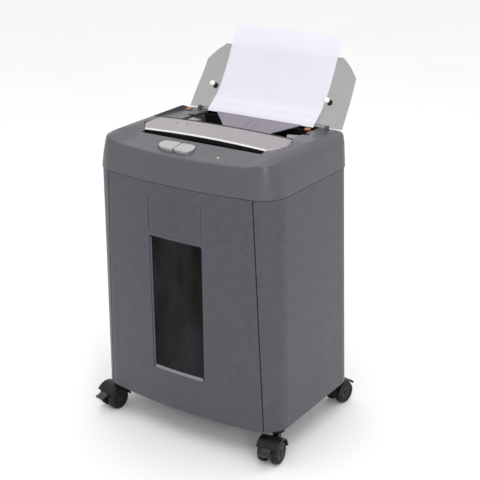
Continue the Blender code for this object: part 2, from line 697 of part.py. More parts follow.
def build_chamber():
    """The black feed well, its light ramp, and the guide tabs beside it."""
    tray = add("feed_well", block((-CHAMBER_HALF, CHAMBER_FRONT, CHAMBER_FLOOR),
                                  (CHAMBER_HALF, CHAMBER_BACK, CHAMBER_TOP)), BLACK, HEAD)
    inside = CHAMBER_HALF - CHAMBER_WALL
    floor_top = CHAMBER_FLOOR + CHAMBER_WALL
    under, over, far = 0.46, 0.52, 0.2
    edge_y, edge_z = RAMP_EDGE
    step = 0.4960  # underside of the well's shallow rear part
    combine(tray, block((-inside, CHAMBER_FRONT + CHAMBER_WALL, floor_top),
                        (inside, edge_y - 0.0018, over)))
    combine(tray, block((-inside, edge_y, step + CHAMBER_WALL), (inside, CHAMBER_BACK - CHAMBER_WALL, over)))
    combine(tray, block((-far, edge_y, under), (far, CHAMBER_BACK + 0.02, step)))
    combine(tray, block((-THROAT[2], THROAT[0], under), (THROAT[2], THROAT[1], over)))
    combine(tray, rod((-far, FEED_Y, FEED_Z), (far, FEED_Y, FEED_Z), SHAFT_RADIUS + 2 * GAP, 12))
    room = FEED_ROLLER_RADIUS + 0.0010
    for sign in (-1, 1):
        low, high = roller_window(sign)
        combine(tray, block((low, FEED_Y - room, under), (high, FEED_Y + room, 0.475)))

    ramp_points = [(-RAMP_HALF, edge_y), (-RAMP_NARROW, RAMP_NARROWS), (-RAMP_NARROW, RAMP_FOOT),
                   (RAMP_NARROW, RAMP_FOOT), (RAMP_NARROW, RAMP_NARROWS), (RAMP_HALF, edge_y)]
    lower = [(x, y, ramp_height(y) - RAMP_THICK) for x, y in ramp_points]
    upper = [(x, y, ramp_height(y)) for x, y in ramp_points]
    ramp = add("paper_ramp", loft([lower, upper]), LAVENDER, HEAD)
    for sign in (-1, 1):
        low, high = roller_window(sign)
        combine(ramp, block((low, FEED_Y - room, under), (high, FEED_Y + room - 0.0020, over)))
        leg = sorted((sign * 0.044, sign * 0.048))
        leg_front, leg_back = 0.0900, 0.1000
        combine(ramp, block((leg[0], leg_front, floor_top + GAP),
                            (leg[1], leg_back, ramp_height(leg_front) - 0.001)), "UNION")
    front, back = 0.1120, 0.1235
    tab = [(front, pocket_floor(front) + GAP), (back, pocket_floor(back) + GAP),
           (back, pocket_floor(back) + 0.0035), (front, pocket_floor(front) + 0.0020)]
    add("sensor_tab_left", plate(tab, -0.1475, -0.1385, "YZ"), ORANGE, HEAD)
    front, back, low = 0.1150, edge_y - GAP, CHAMBER_TOP + GAP
    tab = [(front, low), (back, low), (back, low + 0.0046), (front, low + 0.0030)]
    add("sensor_tab_right", plate(tab, 0.0965, 0.1065, "YZ"), ORANGE, HEAD)


def build_console():
    """Buttons, indicator lenses and the board under them."""
    stem_end = BOARD_TOP + 0.0030
    for name, (x, y) in BUTTON_AXES.items():
        axis = empty(f"{name}_axis", (x, y, 0.500), HEAD)
        outline = button_outline(name == "button_auto")
        key = on_axis(add(name, plate(outline, BUTTON_FLOOR, BUTTON_TOP), CHROME), axis)
        bevel(key, 0.0012, 2)
        combine(key, rod((x, y, stem_end), (x, y, BUTTON_FLOOR + 0.001), BUTTON_STEM, 12), "UNION")
    left, front, right, back = -0.062, -0.104, 0.076, -0.054
    board_low = BOARD_TOP - BOARD_THICK
    board = add("control_board", block((left, front, board_low), (right, back, BOARD_TOP)), BOARD_GREEN, HEAD)
    for x in (left + 0.004, right - 0.004):
        for y in (front + 0.004, back - 0.004):
            combine(board, rod((x, y, HEAD_BOTTOM + DECK_THICK + GAP), (x, y, board_low + 0.0005), 0.003, 10),
                    "UNION")
    for x in (0.030, 0.052):
        combine(board, block((x, -0.080, BOARD_TOP - 0.0006), (x + 0.010, -0.070, BOARD_TOP + 0.0054)), "UNION")
    for name, (x, y), material in (("led_ready", BLUE_LED, BLUE_LENS), ("led_alert", AMBER_LED, AMBER_LENS)):
        top = top_height(x, y) + 0.0006
        add(name, rod((x, y, BOARD_TOP + GAP), (x, y, top), LED_RADIUS, 12), material, HEAD)


# ---------------------------------------------------------------- lid and sheet
LID_LINE = [(0.1333, 0.5129, 0.1235), (0.1287, 0.5140, 0.1235), (0.1285, 0.51405, 0.1550),
            (0.110, 0.5167, 0.1545), (0.085, 0.5192, 0.1535), (0.060, 0.5208, 0.1520), (0.0405, 0.5211, 0.1510),
            (0.022, 0.5201, 0.1350), (0.0090, 0.5187, 0.1190)]
SHEET_LINE = [(0.1250, 0.5070), (0.1305, 0.5127), (0.1378, 0.5175), (0.1440, 0.5232), (0.1516, 0.5283)]
SHEET_TIP = [(0.2150, 0.6290), (0.2260, 0.6425)]


def opened(y, z, angle=-LID_OPENING):
    """Turns a point of the closed lid about its hinge to where it stands open."""
    dy, dz = y - HINGE[0], z - HINGE[1]
    c, s = math.cos(angle), math.sin(angle)
    return HINGE[0] + dy * c - dz * s, HINGE[1] + dy * s + dz * c


def lid_skin():
    """The lid's arched sheet: stations along its length, crowned across its width."""
    steps = 8
    rows = []
    for y, z, half in LID_LINE:
        row = []
        for i in range(steps + 1):
            x = half * (2 * i / steps - 1)
            crown = LID_CROWN * (1 - (x / 0.155) ** 2) if y < 0.1286 else LID_CROWN * 0.35
            row.append((x, y, z + crown))
        rows.append(row)
    return rows


def build_lid():
    axis = empty("lid_hinge_axis", (0, *HINGE), HEAD)
    rows = lid_skin()
    rings = []
    for row in rows:
        top = [(x, y, z + LID_THICK / 2) for x, y, z in row]
        bottom = [(x, y, z - LID_THICK / 2) for x, y, z in reversed(row)]
        rings.append([(x, *opened(y, z)) for x, y, z in top + bottom])
    lid = on_axis(add("feed_lid", loft(rings), SMOKED), axis)
    web = [opened(0.1345, 0.5084), opened(0.1345, 0.5142), opened(0.1315, 0.5146), opened(0.1315, 0.5084)]
    combine(lid, plate(web, -0.1235, 0.1235, "YZ"), "UNION")
    combine(lid, rod((-0.1235, *HINGE), (0.1235, *HINGE), 0.0025, 12), "UNION")
    combine(lid, rod((-0.1310, *HINGE), (0.1310, *HINGE), 0.0013, 10), "UNION")

    for side, sign in (("left", -1), ("right", 1)):
        crown = LID_CROWN * (1 - (POST_X / 0.155) ** 2)
        surface = between(POST_Y, sorted((y, z) for y, z, _ in LID_LINE)) + crown - LID_THICK / 2
        foot, tip = surface - GAP - 0.0003, surface - POST_LENGTH
        x = sign * POST_X
        on_axis(add(f"lid_post_{side}", rod((x, *opened(POST_Y, foot)), (x, *opened(POST_Y, tip)),
                                            POST_RADIUS, 14), BLACK), axis)
        end = tip - GAP
        cap = add(f"lid_post_tip_{side}", rod((x, *opened(POST_Y, end)), (x, *opened(POST_Y, end - 0.0042)),
                                              POST_RADIUS + 0.0008, 14, POST_RADIUS - 0.0010), WHITE)
        on_axis(cap, axis)

    line = SHEET_LINE + [opened(y, z) for y, z, _ in LID_LINE[4:]] + SHEET_TIP
    near, far = [], []
    for i, (y, z) in enumerate(line):
        before, after = line[max(i - 1, 0)], line[min(i + 1, len(line) - 1)]
        run = Vector((after[0] - before[0], after[1] - before[1])).normalized()
        near.append((y, z))
        far.append((y + run.y * PAPER_THICK, z - run.x * PAPER_THICK))
    on_axis(add("paper_sheet", plate(near + far[::-1], -PAPER_HALF, PAPER_HALF, "YZ"), PAPER), axis)


# ---------------------------------------------------------------- cutter unit
def gear_outline(teeth, module, tooth_angle):
    """Tooth tips and roots; a tooth is centred on tooth_angle, given in degrees."""
    pitch = teeth * module / 2
    root, tip = pitch - 1.15 * module, pitch + 0.85 * module
    step = 2 * math.pi / teeth
    points = []
    for i in range(teeth):
        middle = math.radians(tooth_angle) + i * step
        for radius, share in ((root, -0.31), (tip, -0.12), (tip, 0.12), (root, 0.31)):
            angle = middle + share * step
            points.append((radius * math.cos(angle), radius * math.sin(angle)))
    return points


def shifted(points, centre):
    return [(u + centre[0], v + centre[1]) for u, v in points]


def roll_profile(first):
    """Discs and grooves along a cutter roll, from its right end to its left, about its own axis."""
    right_end, left_end = CHEEK_X + CHEEK_THICK + 0.002, -(CHEEK_X + CHEEK_THICK + GEAR_INNER)
    profile = [(0, right_end), (JOURNAL, right_end), (JOURNAL, CHEEK_X - GAP), (CORE_RADIUS, CHEEK_X - GAP)]
    for i in reversed(range(DISC_COUNT)):
        middle = first + DISC_PITCH * i
        profile += [(CORE_RADIUS, middle + DISC_WIDTH / 2), (DISC_RADIUS, middle + DISC_WIDTH / 2),
                    (DISC_RADIUS, middle - DISC_WIDTH / 2), (CORE_RADIUS, middle - DISC_WIDTH / 2)]
    profile += [(CORE_RADIUS, -CHEEK_X + GAP), (JOURNAL, -CHEEK_X + GAP), (JOURNAL, left_end), (0, left_end)]
    return profile


def build_cutters():
    along_x = (0, math.radians(90), 0)
    outer = -(CHEEK_X + CHEEK_THICK)
    plane_a = (outer - GEAR_INNER + 0.0002, outer - 0.0010)
    plane_b = (outer - GEAR_OUTER, outer - GEAR_INNER - 0.0006)
    front_first = -(DISC_COUNT - 1) / 2 * DISC_PITCH - DISC_PITCH / 4
    rear_first = front_first + DISC_PITCH / 2
    mesh_ahead = 360 / CUTTER_GEAR_TEETH / 2
    for name, y, first, tooth in (("front", ROLL_FRONT_Y, front_first, 0),
                                  ("rear", ROLL_REAR_Y, rear_first, 180 + mesh_ahead)):
        axis = empty(f"cutter_{name}_axis", (0, y, ROLL_Z), HEAD)
        lathe(f"cutter_roll_{name}", roll_profile(first), 16, HARD_STEEL, axis, turn=along_x)
        teeth = shifted(gear_outline(CUTTER_GEAR_TEETH, CUTTER_GEAR_MODULE, tooth), (y, ROLL_Z))
        bore = circle((y, ROLL_Z), JOURNAL + GAP)
        on_axis(add(f"cutter_gear_{name}", plate(teeth, *plane_a, "YZ", holes=[bore]), STEEL), axis)

    rear_tooth_ahead = (0 - (180 + mesh_ahead)) % (360 / CUTTER_GEAR_TEETH)
    share = rear_tooth_ahead / (360 / CUTTER_GEAR_TEETH)
    pinion_tooth = 180 + (0.5 + share) * 360 / IDLER_PINION_TEETH
    idler_axis = empty("idler_axis", (0, IDLER_Y, ROLL_Z), HEAD)
    pinion = shifted(gear_outline(IDLER_PINION_TEETH, CUTTER_GEAR_MODULE, pinion_tooth), (IDLER_Y, ROLL_Z))
    stud_hole = circle((IDLER_Y, ROLL_Z), STUD_RADIUS + GAP)
    idler = on_axis(add("idler_gear", plate(shifted(gear_outline(IDLER_TEETH, TRAIN_MODULE, 90),
                                                    (IDLER_Y, ROLL_Z)), *plane_b, "YZ", holes=[stud_hole]),
                        NYLON), idler_axis)
    combine(idler, plate(pinion, plane_b[1] - 0.001, plane_a[1], "YZ", holes=[stud_hole]), "UNION")

    motor_axis = empty("motor_axis", (0, MOTOR_Y, MOTOR_Z), HEAD)
    drop = math.degrees(MOTOR_DROP)
    idler_step, motor_step = 360 / IDLER_TEETH, 360 / MOTOR_PINION_TEETH
    off = ((drop - 90) % idler_step) / idler_step
    motor_tooth = drop + 180 + (off + 0.5) * motor_step
    drive = shifted(gear_outline(MOTOR_PINION_TEETH, TRAIN_MODULE, motor_tooth), (MOTOR_Y, MOTOR_Z))
    drive_gear = on_axis(add("motor_pinion", plate(drive, *plane_b, "YZ"), STEEL), motor_axis)
    combine(drive_gear, rod((plane_b[0] + 0.001, MOTOR_Y, MOTOR_Z), (-0.118, MOTOR_Y, MOTOR_Z),
                            SHAFT_RADIUS, 12), "UNION")
    motor = add("drive_motor", rod((-CHEEK_X + GAP, MOTOR_Y, MOTOR_Z), (-0.042, MOTOR_Y, MOTOR_Z),
                                   MOTOR_RADIUS, 24), STEEL, HEAD)
    combine(motor, rod((-0.2, MOTOR_Y, MOTOR_Z), (-0.1170, MOTOR_Y, MOTOR_Z), SHAFT_RADIUS + 0.0004, 12))
    combine(motor, rod((-0.043, MOTOR_Y, MOTOR_Z), (-0.037, MOTOR_Y, MOTOR_Z), 0.009, 14), "UNION")

    feed_axis = empty("feed_axis", (0, FEED_Y, FEED_Z), HEAD)
    feed_step = 360 / FEED_GEAR_TEETH
    feed = shifted(gear_outline(FEED_GEAR_TEETH, TRAIN_MODULE, -90 + feed_step / 2), (FEED_Y, FEED_Z))
    shaft = on_axis(add("feed_shaft", rod((plane_b[0], FEED_Y, FEED_Z), (CHEEK_X + CHEEK_THICK, FEED_Y, FEED_Z),
                                          SHAFT_RADIUS, 12), STEEL), feed_axis)
    combine(shaft, plate(feed, *plane_b, "YZ"), "UNION")
    outer, bore, half = FEED_ROLLER_RADIUS, SHAFT_RADIUS + GAP, FEED_ROLLER_HALF
    ring = [(outer, half), (outer, -half), (bore, -half), (bore, half)]
    for side, sign in (("left", -1), ("right", 1)):
        lathe(f"feed_roller_{side}", ring, 20, RUBBER, feed_axis, (sign * ROLLER_X, 0, 0), along_x, ring=True)

    for side, sign in (("left", -1), ("right", 1)):
        low, high = sorted((sign * CHEEK_X, sign * (CHEEK_X + CHEEK_THICK)))
        sheet = [(CHEEK_FRONT, CHEEK_LOW), (CHEEK_BACK, CHEEK_LOW), (CHEEK_BACK, CHEEK_HIGH),
                 (CHEEK_FRONT, CHEEK_HIGH)]
        holes = [circle((y, ROLL_Z), JOURNAL + GAP) for y in (ROLL_FRONT_Y, ROLL_REAR_Y)]
        holes.append(circle((FEED_Y, FEED_Z), SHAFT_RADIUS + GAP, 12))
        if sign < 0:
            holes.append(circle((MOTOR_Y, MOTOR_Z), SHAFT_RADIUS + GAP, 12))
        cheek = add(f"cutter_cheek_{side}", plate(sheet, low, high, "YZ", holes=holes), STEEL, HEAD)
        if sign < 0:
            combine(cheek, rod((low + 0.001, IDLER_Y, ROLL_Z), (plane_b[0], IDLER_Y, ROLL_Z), STUD_RADIUS, 16),
                    "UNION")
    for side, (y, z) in TIE_RODS.items():
        bar = rod((-CHEEK_X + GAP, y, z), (CHEEK_X - GAP, y, z), SHAFT_RADIUS, 12)
        add(f"tie_rod_{side}", bar, STEEL, HEAD)
    build_strippers(front_first, rear_first)


def build_strippers(front_first, rear_first):
    """Combs whose fingers keep paper out of the grooves."""
    reach = CORE_RADIUS + 0.0005
    edge = DISC_RADIUS + 0.0006
    finger = (DISC_PITCH - DISC_WIDTH) / 2 - 0.0009
    sides = (("front", ROLL_FRONT_Y, front_first, -1), ("rear", ROLL_REAR_Y, rear_first, 1))
    for side, y, first, sign in sides:
        spine, back, point = y + sign * edge, y + sign * (edge + 0.0022), y + sign * reach
        tip_edge = [(-CHEEK_X + GAP, back), (-CHEEK_X + GAP, spine)]
        for i in range(DISC_COUNT - 1):
            middle = first + DISC_PITCH * (i + 0.5)
            tip_edge += [(middle - finger, spine), (middle - finger, point), (middle + finger, point),
                         (middle + finger, spine)]
        tip_edge += [(CHEEK_X - GAP, spine), (CHEEK_X - GAP, back)]
        add(f"stripper_comb_{side}", plate(tip_edge[::-sign], ROLL_Z - 0.0040, ROLL_Z + 0.0040), NYLON, HEAD)


# ---------------------------------------------------------------- rear fittings
def build_power():
    x, z, wide, tall = INLET
    front, back = 0.1265, 0.1445
    inlet = add("power_inlet", block((x - wide, front, z - tall), (x + wide, back, z + tall)), BLACK, HEAD)
    wall, floor_y = 0.002, front + 0.0035
    combine(inlet, block((x - wide + wall, floor_y, z - tall + wall), (x + wide - wall, 0.16, z + tall - wall)))
    pin = 0.001
    for dx in (-0.0055, 0, 0.0055):
        combine(inlet, block((x + dx - pin, floor_y - 0.001, z - 2 * pin),
                             (x + dx + pin, floor_y + 0.010, z + 2 * pin)), "UNION")
    x, z, wide, tall = ROCKER
    axis = empty("rocker_axis", (x, ROCKER_PIVOT, z), HEAD)
    section = [(0.1330, z - tall + 0.0006), (0.1415, z - tall + 0.0006), (0.1438, z),
               (0.1455, z + tall - 0.0012), (0.1340, z + tall - 0.0012)]
    on_axis(add("power_rocker", plate(section, x - wide + 0.0006, x + wide - 0.0006, "YZ"), BLACK), axis)
    switch_low = HEAD_BOTTOM - 0.0139
    add("bin_switch", block((0.084, -0.0900, switch_low), (0.106, -0.0780, HEAD_BOTTOM - GAP)), BLACK, HEAD)


# ---------------------------------------------------------------- casters
WHEEL_PROFILE = [(0, WHEEL_HALF), (0.0125, WHEEL_HALF), (WHEEL_RADIUS - 0.0018, 0.0170), (WHEEL_RADIUS, 0.0140),
                 (WHEEL_RADIUS, 0.0088), (WHEEL_RADIUS - 0.0012, WHEEL_INNER), (AXLE_RADIUS, WHEEL_INNER)]


def build_caster(corner):
    x, y = CASTER_STEMS[corner]
    heading = math.radians(CASTER_HEADINGS[corner])
    collar_low = CABINET_BOTTOM - 0.0080
    stem = add(f"caster_stem_{corner}", rod((x, y, collar_low), (x, y, CABINET_BOTTOM), STEM_COLLAR, 18), BLACK)
    combine(stem, rod((x, y, 0.0340), (x, y, collar_low + 0.001), STEM_RADIUS, 12), "UNION")
    swivel = empty(f"caster_swivel_axis_{corner}", (x, y, 0), FRAME, heading)
    centre = (CASTER_TRAIL, WHEEL_RADIUS + 0.0003)
    half = WHEEL_HALF + 0.0008
    cover = arc(centre, HOOD_RADIUS, HOOD_FRONT, HOOD_REAR, 12)
    cover += arc(centre, HOOD_RADIUS - HOOD_THICK, HOOD_REAR, HOOD_FRONT, 12)
    hood = add(f"caster_hood_{corner}", plate(cover, -half, half, "XZ"), BLACK, swivel)
    web_half = WHEEL_INNER - 0.0012
    pie = arc(centre, HOOD_RADIUS - HOOD_THICK / 2, 45, 188, 8) + arc(centre, 0.0075, 225, 405, 8)
    combine(hood, plate(pie, -web_half, web_half, "XZ"), "UNION")
    boss = 0.0062
    combine(hood, block((-boss, -web_half, 0.0310), (boss, web_half, collar_low - 0.0006)), "UNION")
    combine(hood, rod((0, 0, 0.0320), (0, 0, 0.0600), STEM_RADIUS + GAP, 12))
    combine(hood, rod((centre[0], -0.03, centre[1]), (centre[0], 0.03, centre[1]), AXLE_BORE, 14))
    hub = empty(f"caster_wheel_axis_{corner}", (CASTER_TRAIL, 0, WHEEL_RADIUS), swivel)
    profile = WHEEL_PROFILE + [(r, -h) for r, h in reversed(WHEEL_PROFILE)]
    lathe(f"caster_wheels_{corner}", profile, 20, RUBBER, hub, turn=(math.radians(90), 0, 0))
    if corner.startswith("front"):
        pivot_x = centre[0] + PEDAL_REACH * math.cos(PEDAL_RISE)
        pivot_z = centre[1] + PEDAL_REACH * math.sin(PEDAL_RISE)
        axis = empty(f"brake_axis_{corner}", (pivot_x, 0, pivot_z), swivel)
        lever = [(-0.0004, -0.0016), (0.0060, -0.0040), (0.0145, -0.0050), (0.0145, -0.0026), (0.0060, -0.0004),
                 (0.0010, 0.0022)]
        add(f"brake_pedal_{corner}", plate(lever, -0.0085, 0.0085, "XZ"), PEDAL_GREY, axis)


build_cabinet()
build_bin()
build_head()
build_bar()
build_chute()
build_chamber()
build_console()
build_lid()
build_cutters()
build_power()
for name in CASTER_STEMS:
    build_caster(name)
bpy.context.view_layer.update()
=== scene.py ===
"""Looks of the paper shredder: finer shells, lid, paper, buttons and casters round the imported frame.

Lengths are in metres about the cabinet's middle, as in the CAD; SHIFT, read from the frame, takes
them to the frame's own coordinates.
"""

import json
import math

import bmesh
import bpy
from mathutils import Matrix, Vector


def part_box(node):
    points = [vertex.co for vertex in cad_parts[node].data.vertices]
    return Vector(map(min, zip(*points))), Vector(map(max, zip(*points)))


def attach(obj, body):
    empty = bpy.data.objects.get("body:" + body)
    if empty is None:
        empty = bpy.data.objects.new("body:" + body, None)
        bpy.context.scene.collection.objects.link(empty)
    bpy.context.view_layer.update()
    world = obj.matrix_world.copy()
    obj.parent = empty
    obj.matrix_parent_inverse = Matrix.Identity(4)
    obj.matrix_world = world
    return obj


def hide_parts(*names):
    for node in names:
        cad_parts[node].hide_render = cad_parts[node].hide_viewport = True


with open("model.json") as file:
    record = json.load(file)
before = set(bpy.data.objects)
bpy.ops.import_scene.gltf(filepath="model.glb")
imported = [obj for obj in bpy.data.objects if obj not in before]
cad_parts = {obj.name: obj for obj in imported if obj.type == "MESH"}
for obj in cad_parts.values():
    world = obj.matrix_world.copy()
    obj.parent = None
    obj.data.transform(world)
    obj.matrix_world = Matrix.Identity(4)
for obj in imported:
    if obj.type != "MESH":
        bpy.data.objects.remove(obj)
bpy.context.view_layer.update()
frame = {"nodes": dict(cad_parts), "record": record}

# ---------------------------------------------------------------- sizes shared with the CAD
GAP = 0.0003
WALL = 0.0025
CABINET_TOP = 0.4516
CABINET_BOTTOM = 0.055
TOP_HALF_WIDTH = 0.1765
BOTTOM_HALF_WIDTH = 0.183
FRONT = -0.120
BACK_TOP = 0.141
BACK_BOTTOM = 0.151
BOW = 0.020
FRONT_RADIUS = 0.046
BACK_RADIUS = 0.040
SEAM_TOP = 0.1418
SEAM_BOTTOM = 0.1588
BACK_SEAM = 0.140
SEAM = 0.0008  # half of the visible joint between the door and a side panel
HEAD_JOINT = 0.0007  # extra height of the visible joint under the head
WINDOW_HALF = 0.0525
WINDOW_LOW = 0.122
WINDOW_HIGH = 0.361
GRIP_LOW = 0.367
GRIP_HIGH = 0.428
HEAD_BOTTOM = CABINET_TOP + GAP
HEAD_PROUD = 0.0008
HEAD_BACK = BACK_TOP + 0.002
HEAD_SKIRT = 0.005
# how far each ring of the head lies in from its sides, front and back, and how much tighter its corners are
HEAD_STEPS = ((0.0, 0.0, 0.0, 0.0), (0.0004, 0.0002, 0.0, 0.0), (0.0034, 0.0022, 0.0003, 0.003),
              (0.0118, 0.0078, 0.0008, 0.017), (0.0243, 0.0198, 0.0100, 0.021),
              (0.0373, 0.0328, 0.0230, 0.024), (0.0543, 0.0508, 0.0380, 0.027),
              (0.0693, 0.0688, 0.0530, 0.030))
TIGHTEST = 0.008  # smallest corner radius of those rings
BAND_LOW = 0.474
BAND_RISE = 0.018
HEAD_DEPTH = 0.26
RIM_STARTS = 0.122
RIM_WIDTH = 0.025
EDGE_ROUNDS = 0.153
# height of the head's top along its depth, at the raised rim and over the middle
RIM = [(-0.1135, 0.499), (-0.089, 0.507), (-0.068, 0.510), (-0.042, 0.515), (0.0, 0.518),
       (0.04, 0.519), (0.066, 0.518), (0.094, 0.516), (0.115, 0.513), (0.130, 0.508), (0.143, 0.503)]
MIDDLE = [(-0.1135, 0.4985), (-0.089, 0.5010), (-0.068, 0.5038), (-0.048, 0.5062), (0.0, 0.512),
          (0.15, 0.512)]
SLOT_FRONT = -0.0485
SLOT_BACK = -0.0364
SLOT_HALF = 0.1185
BAR_FRONT = SLOT_BACK + 0.0004
BAR_BACK = 0.0245
POCKET_FRONT = 0.0252
POCKET_HALF = 0.1562
CHAMBER_HALF = 0.1125
CHAMBER_FRONT = 0.0278
CHAMBER_BACK = 0.1398
RAMP_EDGE = (0.1222, 0.5085)
RAMP_SLOPE = 0.3104
HINGE = (0.1331, 0.5089)
LID_OPENING = math.radians(120)
LID_THICK = 0.0026
LID_CROWN = 0.0045
# the closed lid from its hinge to its free edge: depth, height, half width
LID_LINE = [(0.1341, 0.5127, 0.1235), (0.1327, 0.5131, 0.1235), (0.1325, 0.51315, 0.1550),
            (0.110, 0.5167, 0.1545), (0.085, 0.5192, 0.1535), (0.060, 0.5208, 0.1520),
            (0.0405, 0.5211, 0.1510), (0.022, 0.5201, 0.1350), (0.0090, 0.5187, 0.1190)]
SHEET_LINE = [(0.1250, 0.5070), (0.1305, 0.5127), (0.1378, 0.5175), (0.1440, 0.5232), (0.1516, 0.5283)]
SHEET_TIP = [(0.2150, 0.6290), (0.2260, 0.6425)]
POST_X = 0.117
POST_Y = 0.0885
POST_LENGTH = 0.0115
POST_HOLE = 0.0062
PAPER_HALF = 0.108
BLUE_LED = (0.0474, -0.0600)
AMBER_LED = (0.0640, -0.0860)
LED_RADIUS = 0.0026
BOARD_TOP = 0.4816
# middle (x, z), half width and half height of the two openings in the head's back
INLET = (-0.105, 0.474, 0.0135, 0.0100)
ROCKER = (-0.068, 0.474, 0.0100, 0.0065)
# plan of the two button paddles' outer edges
LEFT_EDGE = [(-0.0300, -0.0600), (-0.0520, -0.0610), (-0.0565, -0.0650), (-0.0570, -0.0740),
             (-0.0530, -0.0850), (-0.0440, -0.0945), (-0.0390, -0.0970), (-0.0250, -0.0980)]
RIGHT_EDGE = [(-0.0120, -0.0595), (-0.0020, -0.0590), (0.0060, -0.0640), (0.0110, -0.0730),
              (0.0145, -0.0850), (0.0130, -0.0930), (0.0080, -0.0975), (-0.0020, -0.0985)]
CASTER_STEMS = {"front_right": (0.165, -0.072), "front_left": (-0.165, -0.072),
                "rear_right": (0.154, 0.1265), "rear_left": (-0.154, 0.1265)}
CASTER_HEADINGS = {"front_right": -82, "front_left": -100, "rear_right": 82, "rear_left": 98}
CASTER_TRAIL = 0.0215
WHEEL_RADIUS = 0.020

HEAD_LOW, HEAD_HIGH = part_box("head_cover")
SHIFT = Vector(((HEAD_LOW.x + HEAD_HIGH.x) / 2, HEAD_LOW.y - (FRONT - HEAD_PROUD), 0))

# ---------------------------------------------------------------- camera, floor and light
CAMERA_PLACE = Vector((1.0261, -1.4315, 1.0015)) + SHIFT
CAMERA_YAW = math.radians(-34.43)  # turn of its line of sight from +Y towards +X
CAMERA_PITCH = math.radians(21.04)  # below the horizon
CAMERA_ROLL = math.radians(0.478)
CAMERA_LENS = 83.95

camera = bpy.data.objects.new("camera", bpy.data.cameras.new("camera"))
bpy.context.scene.collection.objects.link(camera)
camera.data.lens = CAMERA_LENS
camera.data.sensor_width = 36
camera.location = CAMERA_PLACE
sight = Vector((math.sin(CAMERA_YAW) * math.cos(CAMERA_PITCH),
                math.cos(CAMERA_YAW) * math.cos(CAMERA_PITCH), -math.sin(CAMERA_PITCH)))
camera.rotation_mode = "QUATERNION"
roll = Matrix.Rotation(-CAMERA_ROLL, 3, "Z").to_quaternion()
camera.rotation_quaternion = sight.to_track_quat("-Z", "Y") @ roll
bpy.context.scene.camera = camera
bpy.context.scene.view_settings.view_transform = "Standard"

world = bpy.data.worlds.new("studio")
world.use_nodes = True
world.node_tree.nodes["Background"].inputs["Color"].default_value = (1.0, 1.0, 1.0, 1)
world.node_tree.nodes["Background"].inputs["Strength"].default_value = 1.0
bpy.context.scene.world = world


def lamp(name, place, aim, size, power):
    """A soft square white light."""
    light = bpy.data.lights.new(name, "AREA")
    light.size = size
    light.energy = power
    item = bpy.data.objects.new(name, light)
    bpy.context.scene.collection.objects.link(item)
    item.location = place
    item.rotation_euler = (Vector(aim) - Vector(place)).to_track_quat("-Z", "Y").to_euler()


MIDDLE_POINT = (0, -0.03, 0.30)
lamp("key_light", (1.0, -1.2, 2.4), MIDDLE_POINT, 1.0, 12)
lamp("top_light", (-0.2, 0.3, 2.6), MIDDLE_POINT, 1.6, 12)
lamp("corner_light", (1.75, -1.55, 1.15), MIDDLE_POINT, 0.45, 9)


# ---------------------------------------------------------------- materials
def noise(nodes, links, where, scale, detail=2.0, roughness=0.5):
    """A noise texture in the object's own metres."""
    texture = nodes.new("ShaderNodeTexNoise")
    texture.inputs["Scale"].default_value = scale
    texture.inputs["Detail"].default_value = detail
    texture.inputs["Roughness"].default_value = roughness
    links.new(where, texture.inputs["Vector"])
    return texture.outputs["Fac"]


def spread(nodes, links, source, low, high, start=0.3, stop=0.7):
    """Maps a noise's useful span onto low to high."""
    ranged = nodes.new("ShaderNodeMapRange")
    ranged.inputs["From Min"].default_value = start
    ranged.inputs["From Max"].default_value = stop
    ranged.inputs["To Min"].default_value = low
    ranged.inputs["To Max"].default_value = high
    links.new(source, ranged.inputs["Value"])
    return ranged.outputs["Result"]


